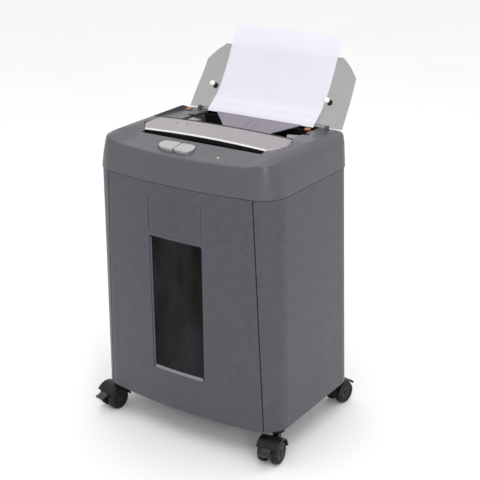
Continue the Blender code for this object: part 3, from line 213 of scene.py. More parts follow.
def surface(name, colour, rough, metallic=0.0, tone=0.05, tone_scale=14, gloss=0.06, grain=1100,
            depth=0.00004, wear=0.0, stretch=(1, 1, 1), coat=0.0, alpha=1.0, glow=None, shine=0.5):
    """A moulded, painted or metal surface: uneven colour, uneven gloss, fine grain and rubbed edges."""
    material = bpy.data.materials.new(name)
    material.use_nodes = True
    nodes, links = material.node_tree.nodes, material.node_tree.links
    shader = nodes["Principled BSDF"]
    where = nodes.new("ShaderNodeTexCoord").outputs["Object"]
    pulled = nodes.new("ShaderNodeMapping")
    pulled.inputs["Scale"].default_value = stretch
    links.new(where, pulled.inputs["Vector"])

    broad = noise(nodes, links, pulled.outputs["Vector"], tone_scale, 3.0)
    shading = spread(nodes, links, broad, 1 - tone, 1 + tone)
    tinted = nodes.new("ShaderNodeVectorMath")
    tinted.operation = "SCALE"
    tinted.inputs[0].default_value = colour
    links.new(shading, tinted.inputs["Scale"])
    colour_out = tinted.outputs["Vector"]
    if wear:
        shape = nodes.new("ShaderNodeNewGeometry").outputs["Pointiness"]
        edge = spread(nodes, links, shape, 0.0, wear, 0.505, 0.56)
        rubbed = nodes.new("ShaderNodeMix")
        rubbed.data_type = "RGBA"
        patchy = nodes.new("ShaderNodeMath")
        patchy.operation = "MULTIPLY"
        links.new(edge, patchy.inputs[0])
        patches = noise(nodes, links, where, 90, 4.0)
        links.new(spread(nodes, links, patches, 0.2, 1.0, 0.4, 0.6), patchy.inputs[1])
        links.new(patchy.outputs[0], rubbed.inputs["Factor"])
        links.new(colour_out, rubbed.inputs[6])
        rubbed.inputs[7].default_value = (*[min(c * 2.2 + 0.03, 1) for c in colour], 1)
        colour_out = rubbed.outputs[2]
    links.new(colour_out, shader.inputs["Base Color"])

    smudge = noise(nodes, links, pulled.outputs["Vector"], 45, 3.0, 0.6)
    links.new(spread(nodes, links, smudge, rough - gloss, rough + gloss), shader.inputs["Roughness"])
    fine = noise(nodes, links, pulled.outputs["Vector"], grain, 2.0)
    bump = nodes.new("ShaderNodeBump")
    bump.inputs["Strength"].default_value = 0.6
    bump.inputs["Distance"].default_value = depth
    links.new(fine, bump.inputs["Height"])
    links.new(bump.outputs["Normal"], shader.inputs["Normal"])
    shader.inputs["Metallic"].default_value = metallic
    shader.inputs["Coat Weight"].default_value = coat
    shader.inputs["Coat Roughness"].default_value = 0.08
    shader.inputs["Alpha"].default_value = alpha
    shader.inputs["Specular IOR Level"].default_value = shine
    if glow:
        shader.inputs["Emission Color"].default_value = (*glow, 1)
        shader.inputs["Emission Strength"].default_value = 0.8
    return material


LOOKS = {
    "slate_plastic": surface("slate_plastic", (0.051, 0.049, 0.063), 0.42, tone=0.018, tone_scale=9,
                             depth=0.00004, wear=0.15, shine=0.42),
    "slate_head": surface("slate_head", (0.068, 0.066, 0.076), 0.36, tone=0.018, tone_scale=9,
                          depth=0.00004, wear=0.15),
    "silver_plastic": surface("silver_plastic", (0.30, 0.28, 0.292), 0.30, metallic=0.4, tone=0.05,
                              tone_scale=7, grain=400, depth=0.000004, stretch=(0.4, 1, 1)),
    "bright_plastic": surface("bright_plastic", (0.34, 0.34, 0.355), 0.24, metallic=0.55, grain=2600,
                              depth=0.00001, coat=0.5),
    "ramp_plastic": surface("ramp_plastic", (0.19, 0.172, 0.205), 0.30, tone=0.03, depth=0.00002),
    "black_plastic": surface("black_plastic", (0.006, 0.006, 0.007), 0.40, tone=0.15, depth=0.00006,
                             wear=0.1, shine=0.25),
    "smoked_window": surface("smoked_window", (0.011, 0.011, 0.012), 0.20, tone=0.75, tone_scale=22,
                             gloss=0.08, grain=60, depth=0.00004, alpha=0.96, shine=0.06,
                             stretch=(1, 1, 0.28)),
    "smoked_lid": surface("smoked_lid", (0.115, 0.106, 0.100), 0.10, tone=0.08, tone_scale=12,
                          gloss=0.04, grain=60, depth=0.00004, alpha=0.42),
    "white_plastic": surface("white_plastic", (0.80, 0.80, 0.80), 0.35, depth=0.00003),
    "paper": surface("paper", (0.66, 0.645, 0.71), 0.85, tone=0.012, tone_scale=30, grain=1900,
                     depth=0.00004, shine=0.2),
    # painted highlight: near-white metallic paint for the light caught along the silver bar's front edge
    "lip_metal": surface("lip_metal", (0.86, 0.86, 0.88), 0.22, metallic=0.7, tone=0.03, depth=0.00001),
    "well_grey": surface("well_grey", (0.085, 0.078, 0.076), 0.25, coat=0.3),
    "steel": surface("steel", (0.48, 0.48, 0.49), 0.34, metallic=1.0, tone=0.1, grain=700, depth=0.00002,
                     stretch=(1, 1, 12), gloss=0.1),
    "cutter_steel": surface("cutter_steel", (0.30, 0.30, 0.31), 0.38, metallic=1.0, tone=0.15, grain=900,
                            depth=0.00003, stretch=(6, 1, 1), gloss=0.12),
    "nylon": surface("nylon", (0.74, 0.71, 0.62), 0.5, depth=0.00004),
    "rubber": surface("rubber", (0.008, 0.008, 0.009), 0.60, tone=0.25, tone_scale=40, grain=1500,
                      depth=0.00008, shine=0.3),
    "orange_plastic": surface("orange_plastic", (0.30, 0.11, 0.055), 0.4),
    "blue_lens": surface("blue_lens", (0.03, 0.10, 0.17), 0.18, coat=0.6, glow=(0.005, 0.03, 0.06)),
    "amber_lens": surface("amber_lens", (0.50, 0.38, 0.14), 0.18, coat=0.6, glow=(0.12, 0.08, 0.02)),
    "circuit_board": surface("circuit_board", (0.02, 0.12, 0.05), 0.4, tone=0.2, tone_scale=120, grain=500,
                             depth=0.00006),
    "pedal_plastic": surface("pedal_plastic", (0.022, 0.022, 0.027), 0.40, wear=0.2),
}
NODES = frame["nodes"]
SLOT_OF = {part["node"]: part["material_slot"] for part in frame["record"]["subparts"]}
for node_name, node in NODES.items():
    node.data.materials.clear()
    node.data.materials.append(LOOKS[SLOT_OF[node_name]])


# ---------------------------------------------------------------- modelling helpers
def to_mesh(bm, name="shape"):
    bmesh.ops.recalc_face_normals(bm, faces=bm.faces)
    mesh = bpy.data.meshes.new(name)
    bm.to_mesh(mesh)
    bm.free()
    return mesh


def block(low, high):
    """A box from its lowest to its highest corner, a tool for cutting and joining."""
    bm = bmesh.new()
    bmesh.ops.create_cube(bm, size=1)
    bmesh.ops.scale(bm, vec=[b - a for a, b in zip(low, high)], verts=bm.verts)
    bmesh.ops.translate(bm, vec=[(a + b) / 2 for a, b in zip(low, high)], verts=bm.verts)
    return to_mesh(bm)


def rod(start, end, radius, sides=32, end_radius=None):
    """A round bar between two points."""
    start, end = Vector(start), Vector(end)
    run = end - start
    bm = bmesh.new()
    bmesh.ops.create_cone(bm, cap_ends=True, segments=sides, radius1=radius,
                          radius2=radius if end_radius is None else end_radius, depth=run.length)
    turn = run.to_track_quat("Z", "Y").to_matrix().to_4x4()
    bmesh.ops.transform(bm, matrix=Matrix.Translation((start + end) / 2) @ turn, verts=bm.verts)
    return to_mesh(bm)


def turned(start, end, profile, steps=48):
    """A turned solid along a line: (distance along, radius) pairs from end to end, closed at both."""
    start, end = Vector(start), Vector(end)
    turn = (end - start).to_track_quat("Z", "Y").to_matrix().to_4x4()
    bm = bmesh.new()
    rows = []
    for along, radius in profile:
        rows.append([bm.verts.new((radius * math.cos(2 * math.pi * i / steps),
                                   radius * math.sin(2 * math.pi * i / steps), along)) for i in range(steps)])
    for lower, upper in zip(rows, rows[1:]):
        for i in range(steps):
            j = (i + 1) % steps
            bm.faces.new((lower[i], lower[j], upper[j], upper[i]))
    bm.faces.new(rows[0][::-1])
    bm.faces.new(rows[-1])
    bmesh.ops.transform(bm, matrix=Matrix.Translation(start) @ turn, verts=bm.verts)
    return to_mesh(bm)


AXES = {"XY": ((1, 0, 0), (0, 1, 0), (0, 0, 1)), "YZ": ((0, 1, 0), (0, 0, 1), (1, 0, 0)),
        "XZ": ((1, 0, 0), (0, 0, 1), (0, 1, 0))}


def plate(points, low, high, plane="XY"):
    """A flat outline, extruded between two heights square to its plane."""
    u_axis, v_axis, w_axis = (Vector(axis) for axis in AXES[plane])
    bm = bmesh.new()
    rings = [[bm.verts.new(u_axis * u + v_axis * v + w_axis * w) for u, v in points] for w in (low, high)]
    for i in range(len(points)):
        j = (i + 1) % len(points)
        bm.faces.new((rings[0][i], rings[0][j], rings[1][j], rings[1][i]))
    bm.faces.new(rings[0][::-1])
    bm.faces.new(rings[1])
    return to_mesh(bm)


def loft(rings, closed=False, capped=True):
    """Joins rings of equal count; the ends are capped, or joined to each other when closed."""
    bm = bmesh.new()
    rows = [[bm.verts.new(p) for p in ring] for ring in rings]
    pairs = list(zip(rows, rows[1:] + rows[:1])) if closed else list(zip(rows, rows[1:]))
    for lower, upper in pairs:
        for i in range(len(lower)):
            j = (i + 1) % len(lower)
            bm.faces.new((lower[i], lower[j], upper[j], upper[i]))
    if capped and not closed:
        bm.faces.new(rows[0][::-1])
        bm.faces.new(rows[-1])
    return to_mesh(bm)


def make(name, mesh):
    item = bpy.data.objects.new(name, mesh)
    bpy.context.scene.collection.objects.link(item)
    return item


def settle(item):
    """Replaces a shape by what its modifiers make of it."""
    bpy.context.view_layer.update()
    mesh = bpy.data.meshes.new_from_object(item.evaluated_get(bpy.context.evaluated_depsgraph_get()))
    item.modifiers.clear()
    item.data = mesh
    return item


def combine(item, mesh, operation="DIFFERENCE"):
    """Cuts a shape with a second one, joins the two, or keeps what they share."""
    tool = make("tool", mesh)
    change = item.modifiers.new("change", "BOOLEAN")
    change.operation = operation
    change.object = tool
    change.solver = "EXACT"
    settle(item)
    bpy.data.objects.remove(tool, do_unlink=True)
    return item


def piece(item, slot, body, nodes=(), round_edges=0.0, segments=2, sharp=35, look=None):
    """Finishes a shape as one visible piece: edges, shading, look, body and the CAD nodes it replaces."""
    mesh = item.data
    bm = bmesh.new()
    bm.from_mesh(mesh)
    bmesh.ops.remove_doubles(bm, verts=bm.verts, dist=0.00001)
    bmesh.ops.translate(bm, vec=SHIFT, verts=bm.verts)
    bm.to_mesh(mesh)
    bm.free()
    mesh.shade_smooth()
    mesh.set_sharp_from_angle(angle=math.radians(sharp))
    if round_edges:
        edge = item.modifiers.new("rounded", "BEVEL")
        edge.width = round_edges
        edge.segments = segments
        edge.limit_method = "ANGLE"
        edge.angle_limit = math.radians(sharp)
        edge.harden_normals = True
        edge.use_clamp_overlap = True
    mesh.materials.clear()
    mesh.materials.append(look or LOOKS[slot])
    if nodes:
        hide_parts(*nodes)
    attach(item, body)
    return item


def arc(centre, radius, start, stop, steps):
    angles = [math.radians(start + (stop - start) * i / steps) for i in range(steps + 1)]
    return [(centre[0] + radius * math.cos(a), centre[1] + radius * math.sin(a)) for a in angles]


def rounded(low, high, radius, steps=6):
    """A rectangle's outline with rounded corners."""
    (x0, y0), (x1, y1) = low, high
    return (arc((x1 - radius, y0 + radius), radius, -90, 0, steps)
            + arc((x1 - radius, y1 - radius), radius, 0, 90, steps)
            + arc((x0 + radius, y1 - radius), radius, 90, 180, steps)
            + arc((x0 + radius, y0 + radius), radius, 180, 270, steps))


def between(value, table):
    """Smooth reading of a table of pairs."""
    if value <= table[0][0]:
        return table[0][1]
    if value >= table[-1][0]:
        return table[-1][1]
    slopes = [(b[1] - a[1]) / (b[0] - a[0]) for a, b in zip(table, table[1:])]
    ends = [slopes[0]] + [(a + b) / 2 for a, b in zip(slopes, slopes[1:])] + [slopes[-1]]
    for i, ((a, low), (b, high)) in enumerate(zip(table, table[1:])):
        if value <= b:
            span, t = b - a, (value - a) / (b - a)
            return (low * (2 * t**3 - 3 * t**2 + 1) + high * (3 * t**2 - 2 * t**3)
                    + span * (ends[i] * (t**3 - 2 * t**2 + t) + ends[i + 1] * (t**3 - t**2)))
    return table[-1][1]


def soften(rows, rounds=2, loop=False, first=0.25):
    """Cuts the corners of a polyline, or of a list of rings; a small first cut keeps them tighter."""
    for i in range(rounds):
        share = first if i == 0 else 0.25
        pairs = list(zip(rows, rows[1:])) + ([(rows[-1], rows[0])] if loop else [])
        cut = []
        for a, b in pairs:
            cut.append(mix(a, b, share))
            cut.append(mix(a, b, 1 - share))
        rows = cut if loop else [rows[0]] + cut + [rows[-1]]
    return rows


def mix(a, b, share):
    if isinstance(a[0], (tuple, list)):
        return [mix(p, q, share) for p, q in zip(a, b)]
    return tuple(p + (q - p) * share for p, q in zip(a, b))


# ---------------------------------------------------------------- cabinet
FRONT_STEPS = 72
CORNER_STEPS = 14


def plan(half_width, front, back, front_radius, back_radius):
    """The cabinet's plan outline, anticlockwise from the front's left end, with its bowed front."""
    flat = half_width - front_radius
    points = []
    for i in range(FRONT_STEPS + 1):
        x = -flat + 2 * flat * i / FRONT_STEPS
        points.append((x, front + BOW * (x / half_width) ** 2))
    corner_y = front + BOW * (flat / half_width) ** 2 + front_radius
    right = arc((flat, corner_y), front_radius, -78, 0, CORNER_STEPS)
    right += arc((half_width - back_radius, back - back_radius), back_radius, 0, 90, CORNER_STEPS)
    return points + right + [(-x, y) for x, y in reversed(right)]


def at_height(ring, height):
    return [(x, y, height(x, y) if callable(height) else height) for x, y in ring]


def cabinet_tube():
    def wall(inset, low):
        if low:
            return at_height(plan(BOTTOM_HALF_WIDTH - inset, FRONT + inset, BACK_BOTTOM - inset,
                                  FRONT_RADIUS - inset, BACK_RADIUS - inset), CABINET_BOTTOM)
        return at_height(plan(TOP_HALF_WIDTH - inset, FRONT + inset, BACK_TOP - inset,
                              FRONT_RADIUS - inset, BACK_RADIUS - inset), CABINET_TOP)
    return loft([wall(0, True), wall(0, False), wall(WALL, False), wall(WALL, True)], closed=True)


def door_prism(grow):
    slope = (SEAM_BOTTOM - SEAM_TOP) / (CABINET_TOP - CABINET_BOTTOM)
    margin = 0.01
    low, high = SEAM_BOTTOM + slope * margin + grow, SEAM_TOP - slope * margin + grow
    corners = [(-low, CABINET_BOTTOM - margin), (low, CABINET_BOTTOM - margin),
               (high, CABINET_TOP + margin), (-high, CABINET_TOP + margin)]
    return plate(corners, -0.20, -0.055, "XZ")


def build_cabinet():
    far = 0.3
    for side, half in (("left", (0, far)), ("right", (-far, 0))):
        panel = make(f"cabinet_side_{side}", cabinet_tube())
        combine(panel, door_prism(SEAM))
        combine(panel, block((-BACK_SEAM - GAP, 0.05, 0), (BACK_SEAM + GAP, far, 0.6)))
        combine(panel, block((half[0], -far, 0), (half[1], far, 0.6)))
        piece(panel, "slate_plastic", "housing", [f"side_panel_{side}"], 0.0007)
    back = make("cabinet_back", cabinet_tube())
    combine(back, block((-BACK_SEAM + GAP, 0.05, 0), (BACK_SEAM - GAP, far, 0.6)), "INTERSECT")
    piece(back, "slate_plastic", "housing", ["back_panel"], 0.0007)


def bowed(x):
    return FRONT + BOW * (x / TOP_HALF_WIDTH) ** 2


def bowed_sheet(outline_low, outline_high, half, set_back, thickness, steps=48):
    """A sheet that follows the door's bow, set back from its face."""
    xs = [-half + 2 * half * i / steps for i in range(steps + 1)]
    ring = [(x, bowed(x) + set_back) for x in xs]
    ring += [(x, bowed(x) + set_back + thickness) for x in reversed(xs)]
    return loft([at_height(ring, outline_low), at_height(ring, outline_high)])


def build_bin():
    door = make("bin_front", cabinet_tube())
    combine(door, door_prism(-SEAM), "INTERSECT")
    window = rounded((-WINDOW_HALF, WINDOW_LOW), (WINDOW_HALF, WINDOW_HIGH), 0.004)
    grip = rounded((-WINDOW_HALF, GRIP_LOW), (WINDOW_HALF, GRIP_HIGH), 0.002)
    for outline in (window, grip):
        combine(door, plate(outline, -0.2, -0.09, "XZ"))
    piece(door, "slate_plastic", "bin", ["bin_door"], 0.0007)

    lap = 0.004  # how far the pane and the grip reach behind the door
    pane_high = WINDOW_HIGH + 0.003
    pane = make("window_pane", bowed_sheet(WINDOW_LOW - lap, pane_high, WINDOW_HALF + lap, WALL, 0.002))
    piece(pane, "smoked_window", "bin", ["bin_window"], 0.0003)
    sill = make("window_sill", bowed_sheet(WINDOW_LOW + 0.0002, WINDOW_LOW + 0.0060,
                                           WINDOW_HALF - 0.0030, 0.0004, 0.0020))
    top = bowed_sheet(WINDOW_LOW + 0.0022, WINDOW_LOW + 0.0100, WINDOW_HALF, -0.0010, 0.0022)
    combine(sill, top)
    piece(sill, "ramp_plastic", "bin", (), 0.0004)
    jamb = make("window_jamb", plate(rounded((-WINDOW_HALF + GAP, WINDOW_LOW + 0.0030),
                                             (-WINDOW_HALF + 0.0042, WINDOW_HIGH - 0.0030), 0.0008, 3),
                                     bowed(WINDOW_HALF) + 0.0006, bowed(WINDOW_HALF) + WALL - GAP, "XZ"))
    piece(jamb, "slate_plastic", "bin", (), 0.0005)

    ribbed = make("grip_ribs", bowed_sheet(pane_high + GAP, GRIP_HIGH + lap, WINDOW_HALF + lap, WALL, 0.002))
    fill = (GRIP_LOW + 0.0001, GRIP_HIGH - 0.0001, WINDOW_HALF - 0.0006)
    combine(ribbed, bowed_sheet(*fill, 0.0003, WALL), "UNION")
    ribs = 8
    pitch = (GRIP_HIGH - GRIP_LOW) / ribs
    for i in range(ribs):
        low = GRIP_LOW + pitch * (i + 0.05)
        rib = bowed_sheet(low, low + 0.90 * pitch, WINDOW_HALF - 0.0007, 0.00012, WALL, 24)
        combine(ribbed, rib, "UNION")
    piece(ribbed, "slate_plastic", "bin", ["pull_grip"], 0.00012, 2)


# ---------------------------------------------------------------- head
def top_height(x, y):
    """Height of the head's top: a raised rim at the sides, a lower console in the middle."""
    share = min(max((abs(x) - RIM_STARTS) / RIM_WIDTH, 0), 1)
    share = share * share * (3 - 2 * share)
    edge_fall = max(abs(x) - EDGE_ROUNDS, 0) * 0.35
    return between(y, RIM) * share + between(y, MIDDLE) * (1 - share) - edge_fall


def band_height(x, y):
    return BAND_LOW + (y - FRONT) * BAND_RISE / HEAD_DEPTH


def head_rings(inset, drop, low):
    """Rings of the head's outer shape, or of its hollow when inset, softened between one another."""
    rings = []
    heights = (low, HEAD_BOTTOM + HEAD_SKIRT, band_height) + (top_height,) * (len(HEAD_STEPS) - 3)
    for (side, front, back, tighter), height in zip(HEAD_STEPS, heights):
        half = TOP_HALF_WIDTH + HEAD_PROUD - side
        front, back = FRONT - HEAD_PROUD + front, HEAD_BACK - back
        front_radius = max(FRONT_RADIUS - tighter - inset, TIGHTEST)
        back_radius = max(BACK_RADIUS - tighter - inset, TIGHTEST)
        ring = plan(half - inset, front + inset, back - inset, front_radius, back_radius)
        if callable(height):
            rings.append([(x, y, height(x, y) - drop) for x, y in ring])
        else:
            rings.append(at_height(ring, height))
    return soften(rings, 3, first=0.10)


def pocket_floor(y):
    return 0.5042 + (0.1385 - y) * 0.03


def pocket_prism(grow):
    front, back, ceiling = POCKET_FRONT - grow, 0.17, 0.56
    half, radius = POCKET_HALF + grow, 0.010
    section = [(front, pocket_floor(front) - grow), (back, pocket_floor(back) - grow),
               (back, ceiling), (front, ceiling)]
    prism = make("pocket", plate(section, -half, half, "YZ"))
    outline = rounded((-half, front), (half, 0.2), radius + grow)
    combine(prism, plate(outline, 0.4, 0.6), "INTERSECT")
    mesh = prism.data
    bpy.data.objects.remove(prism, do_unlink=True)
    return mesh


def bar_half(y):
    """Half width of the silver bar along its depth."""
    return between(y, [(BAR_FRONT, 0.1200), (-0.0240, 0.1300), (-0.012, 0.1395), (0.006, 0.1360),
                       (BAR_BACK, 0.1310)])


def bar_height(x, y):
    rise = (y - BAR_FRONT) / (BAR_BACK - BAR_FRONT)
    return (0.5133 - 0.25 * x * x) * (1 - rise) + (0.5178 - 0.16 * x * x) * rise


def bar_opening():
    """Plan of the opening that the bar and the hand-feed slot share in the head."""
    steps = 16
    grow = 0.0004
    side = [(SLOT_HALF, SLOT_FRONT), (SLOT_HALF, SLOT_BACK)]
    for i in range(steps + 1):
        y = BAR_FRONT + (BAR_BACK - BAR_FRONT) * i / steps
        side.append((bar_half(y) + grow, y))
    side.append((bar_half(BAR_BACK) + grow, BAR_BACK + GAP))
    return side + [(-x, y) for x, y in reversed(side)]


S_LINE = [(-0.0150, -0.0975), (-0.0185, -0.0900), (-0.0200, -0.0820), (-0.0222, -0.0740),
          (-0.0240, -0.0670), (-0.0245, -0.0605)]


def button_outline(left):
    """Plan of one paddle; an S parts the two."""
    parting = 0.0004
    if left:
        return soften([(x - parting, y) for x, y in S_LINE] + LEFT_EDGE, 2, True)
    return soften([(x + parting, y) for x, y in S_LINE] + RIGHT_EDGE, 2, True)


def button_well():
    centre = Vector((-0.0210, -0.0790))
    points = []
    for edge in LEFT_EDGE + RIGHT_EDGE[::-1]:
        away = Vector(edge) - centre
        points.append(tuple(centre + away * (1 + 0.0009 / away.length)))
    return soften(points, 2, True)


def build_head():
    shell = make("head_shell", loft(head_rings(0, 0, HEAD_BOTTOM + HEAD_JOINT)))
    hollow = make("hollow", loft(head_rings(WALL, WALL + GAP, HEAD_BOTTOM - 0.01)))
    combine(hollow, pocket_prism(WALL))
    mesh = hollow.data
    bpy.data.objects.remove(hollow, do_unlink=True)
    combine(shell, mesh)
    combine(shell, pocket_prism(0))
    under, over = 0.47, 0.56
    combine(shell, plate(bar_opening(), under, over))
    well = rounded((-CHAMBER_HALF - GAP, CHAMBER_FRONT - GAP),
                   (CHAMBER_HALF + GAP, CHAMBER_BACK + GAP), 0.004)
    combine(shell, plate(well, under, over))
    combine(shell, plate(button_well(), under, over))
    for x in (-POST_X, POST_X):
        combine(shell, rod((x, POST_Y, under), (x, POST_Y, over), POST_HOLE, 40))
    slit = rounded((-0.1540, 0.0930), (-0.1482, 0.1110), 0.0010, 3)
    combine(shell, plate(slit, pocket_floor(0.0930) - 0.0016, over))
    for x, y in (BLUE_LED, AMBER_LED):
        combine(shell, rod((x, y, under), (x, y, over), LED_RADIUS + GAP, 32))
    for sign in (-1, 1):
        low, high = sorted((sign * 0.1270, sign * 0.1330))
        ear = [(0.1302, 0.5025), (0.1360, 0.5025)] + arc((0.1331, 0.5089), 0.0029, 0, 180, 12)
        combine(shell, plate(ear, low, high, "YZ"), "UNION")
    for x, z, wide, tall in (INLET, ROCKER):
        combine(shell, block((x - wide - GAP, 0.13, z - tall - GAP), (x + wide + GAP, 0.16, z + tall + GAP)))
    for i in range(11):
        x = 0.010 + 0.009 * i
        slot = rounded((x, 0.4600), (x + 0.0032, 0.4860), 0.0015, 4)
        combine(shell, plate(slot, 0.13, 0.16, "XZ"))
    piece(shell, "slate_head", "housing", ["head_cover"], 0.0007)


def build_bar():
    """A curved silver cover with rolled edges and a fine raised line, its slot liner, a painted highlight
    along its front edge, painted shade in the gap behind it and three marks.
    """
    across, depth = 120, 36
    rows = []
    lines = [(BAR_FRONT, 0.0016), (BAR_FRONT, 0.0008), (BAR_FRONT + 0.0004, 0.0002)]
    for i in range(depth + 1):
        lines.append((BAR_FRONT + 0.0012 + (BAR_BACK - BAR_FRONT - 0.0022) * i / depth, 0.0))
    lines += [(BAR_BACK - 0.0003, 0.0004), (BAR_BACK, 0.0012), (BAR_BACK, 0.0060)]
    bm = bmesh.new()
    for y, drop in lines:
        half = bar_half(y)
        row = []
        for i in range(across + 1):
            share = 2 * i / across - 1
            x = half * share
            inset_side = half - abs(x)
            inset_back = BAR_BACK - y
            inset = min(inset_side, inset_back)
            raised = 0.0004 * max(0, 1 - abs(inset - 0.0052) / 0.0011)
            edge_roll = 0.0016 * max(0, 1 - inset_side / 0.003) ** 2
            row.append(bm.verts.new((x, y, bar_height(x, y) - drop + raised - edge_roll)))
        rows.append(row)
    for lower, upper in zip(rows, rows[1:]):
        for i in range(across):
            bm.faces.new((lower[i], lower[i + 1], upper[i + 1], upper[i]))
    bar = make("silver_bar", to_mesh(bm))
    if bar.data.polygons[len(bar.data.polygons) // 2].normal.z < 0:
        bar.data.flip_normals()
    skin = bar.modifiers.new("skin", "SOLIDIFY")
    skin.thickness = 0.0020
    skin.offset = -1
    skin.use_even_offset = True
    settle(bar)
    piece(bar, "silver_plastic", "housing", ["feed_bar"], sharp=50)

    def stations(half, steps=60):
        return [half * (2 * i / steps - 1) for i in range(steps + 1)]

    rings = []
    for x in stations(0.117):
        top = bar_height(x, BAR_FRONT)
        rings.append([(x, BAR_FRONT + 0.0003, top - 0.0100), (x, BAR_FRONT + 0.0003, top - 0.0016),
                      (x, BAR_FRONT + 0.0019, top - 0.0024), (x, BAR_FRONT + 0.0019, top - 0.0100)])
    piece(make("slot_liner", loft(rings)), "black_plastic", "housing")
    # a near-white strip along the bar's front edge: a painted highlight standing in for the light caught
    # there
    rings = []
    for x in stations(0.1192):
        top = bar_height(x, BAR_FRONT)
        rings.append([(x, BAR_FRONT - 0.0004, top - 0.0022), (x, BAR_FRONT - 0.0004, top - 0.0008),
                      (x, BAR_FRONT + 0.0002, top + 0.0001), (x, BAR_FRONT + 0.0016, top + 0.0003),
                      (x, BAR_FRONT + 0.0016, top - 0.0022)])
    piece(make("bar_lip", loft(rings)), "bright_plastic", "housing", look=LOOKS["lip_metal"])
    # a black strip along the bar's back edge: painted shade standing in for the shadow in the gap between the
    # bar and the lid's pocket
    rings = []
    for x in stations(bar_half(BAR_BACK) - 0.0006):
        top = bar_height(x, BAR_BACK) + 0.0005
        front = BAR_BACK - 0.0030
        rings.append([(x, front, top - 0.0008), (x, front + 0.0005, top), (x, BAR_BACK - 0.0003, top),
                      (x, BAR_BACK + 0.0003, top - 0.0010), (x, BAR_BACK + 0.0003, top - 0.0075),
                      (x, front, top - 0.0014)])
    piece(make("bar_back_painted_shade", loft(rings)), "black_plastic", "housing")
    for i, (x, y) in enumerate(((-0.084, 0.004), (-0.062, 0.004), (-0.040, 0.004))):
        arrow = [(-0.0028, 0.0012), (0, -0.0016), (0.0028, 0.0012), (0.0028, 0.0024), (0, -0.0004),
                 (-0.0028, 0.0024)]
        z = bar_height(x, y)
        mark = plate([(x + u, y + v) for u, v in arrow], z - 0.0006, z + 0.00025)
        piece(make(f"feed_mark_{i + 1}", mark), "black_plastic", "housing")


def ramp_height(y):
    return RAMP_EDGE[1] - RAMP_SLOPE * (RAMP_EDGE[0] - y)


def build_chamber():
    """The light ramp with guide ribs, its dark rear edge, and the tabs, rests and lining beside it."""
    edge_y = RAMP_EDGE[0]
    outline = [(-0.0855, edge_y), (-0.0500, 0.0890), (-0.0500, 0.0460), (0.0500, 0.0460),
               (0.0500, 0.0890), (0.0855, edge_y)]
    lower = [(x, y, ramp_height(y) - 0.002) for x, y in outline]
    upper = [(x, y, ramp_height(y)) for x, y in outline]
    ramp = make("feed_ramp", loft([lower, upper]))
    for sign in (-1, 1):
        low, high = sorted((sign * 0.0155, sign * 0.0405))
        combine(ramp, block((low, 0.03, 0.46), (high, 0.0591, 0.52)))
    for x in (-0.0075, 0.0075):
        rib = [(0.050, ramp_height(0.050) - 0.001), (0.118, ramp_height(0.118) - 0.001),
               (0.116, ramp_height(0.116) + 0.0007), (0.052, ramp_height(0.052) + 0.0007)]
        combine(ramp, plate(rib, x - 0.0008, x + 0.0008, "YZ"), "UNION")
    piece(ramp, "ramp_plastic", "housing", ["paper_ramp"], 0.0005)
    strip = [(edge_y + 0.0002, ramp_height(edge_y) - 0.002), (edge_y + 0.0016, ramp_height(edge_y) - 0.002),
             (edge_y + 0.0016, ramp_height(edge_y) - 0.0002), (edge_y + 0.0002, ramp_height(edge_y) + 0.0002)]
    piece(make("ramp_edge", plate(strip, -0.0855, 0.0855, "YZ")), "black_plastic", "housing", (), 0.0003)
    front, back = 0.1120, 0.1235
    left = [(front, pocket_floor(front) + GAP), (back, pocket_floor(back) + GAP),
            (back, pocket_floor(back) + 0.0035), (front, pocket_floor(front) + 0.0020)]
    front, back, low = 0.1150, edge_y - GAP, 0.5023
    right = [(front, low), (back, low), (back, low + 0.0046), (front, low + 0.0030)]
    for side, tab, ends in (("left", left, (-0.1475, -0.1385)), ("right", right, (0.0965, 0.1065))):
        item = make(f"orange_tab_{side}", plate(tab, *ends, "YZ"))
        piece(item, "orange_plastic", "housing", [f"sensor_tab_{side}"], 0.0006)
    for side, sign in (("left", -1), ("right", 1)):
        corners = [(0.0870, 0.0780), (0.1103, 0.0840), (0.1103, 0.0600), (0.0990, 0.0560)]
        rest = plate([(sign * x, y) for x, y in corners][::sign], 0.4990, 0.5035)
        piece(make(f"side_rest_{side}", rest), "ramp_plastic", "housing", (), 0.0006)
    wall = plate(rounded((0.0300, 0.4680), (0.1202, 0.5018), 0.0010, 3), -0.11045, -0.10995, "YZ")
    piece(make("well_lining", wall), "ramp_plastic", "housing", look=LOOKS["well_grey"])
    NODES["feed_well"].modifiers.new("rounded", "BEVEL").width = 0.0005


def build_console():
    for name, left, x in (("auto", True, -0.040), ("reverse", False, -0.004)):
        key = make(f"{name}_paddle", plate(button_outline(left), 0.4965, 0.5054))
        combine(key, rod((x, -0.080, 0.4846), (x, -0.080, 0.4975), 0.003), "UNION")
        piece(key, "bright_plastic", f"{name}_button", [f"button_{name}"], 0.0013, 4)
    for name, (x, y), slot in (("ready", BLUE_LED, "blue_lens"), ("alert", AMBER_LED, "amber_lens")):
        top = top_height(x, y)
        radius = LED_RADIUS
        profile = [(0, radius), (top - BOARD_TOP - 0.0009, radius), (top - BOARD_TOP - 0.0003, radius * 0.86),
                   (top - BOARD_TOP + 0.0003, radius * 0.5), (top - BOARD_TOP + 0.0006, radius * 0.12)]
        lens = make(f"{name}_lens", turned((x, y, BOARD_TOP + GAP), (x, y, top), profile, 32))
        piece(lens, slot, "housing", [f"led_{name}"])


# ---------------------------------------------------------------- lid and sheet
def opened(y, z):
    """Turns a point of the closed lid about its hinge to where it stands when open."""
    dy, dz = y - HINGE[0], z - HINGE[1]
    c, s = math.cos(-LID_OPENING), math.sin(-LID_OPENING)
    return HINGE[0] + dy * c - dz * s, HINGE[1] + dy * s + dz * c


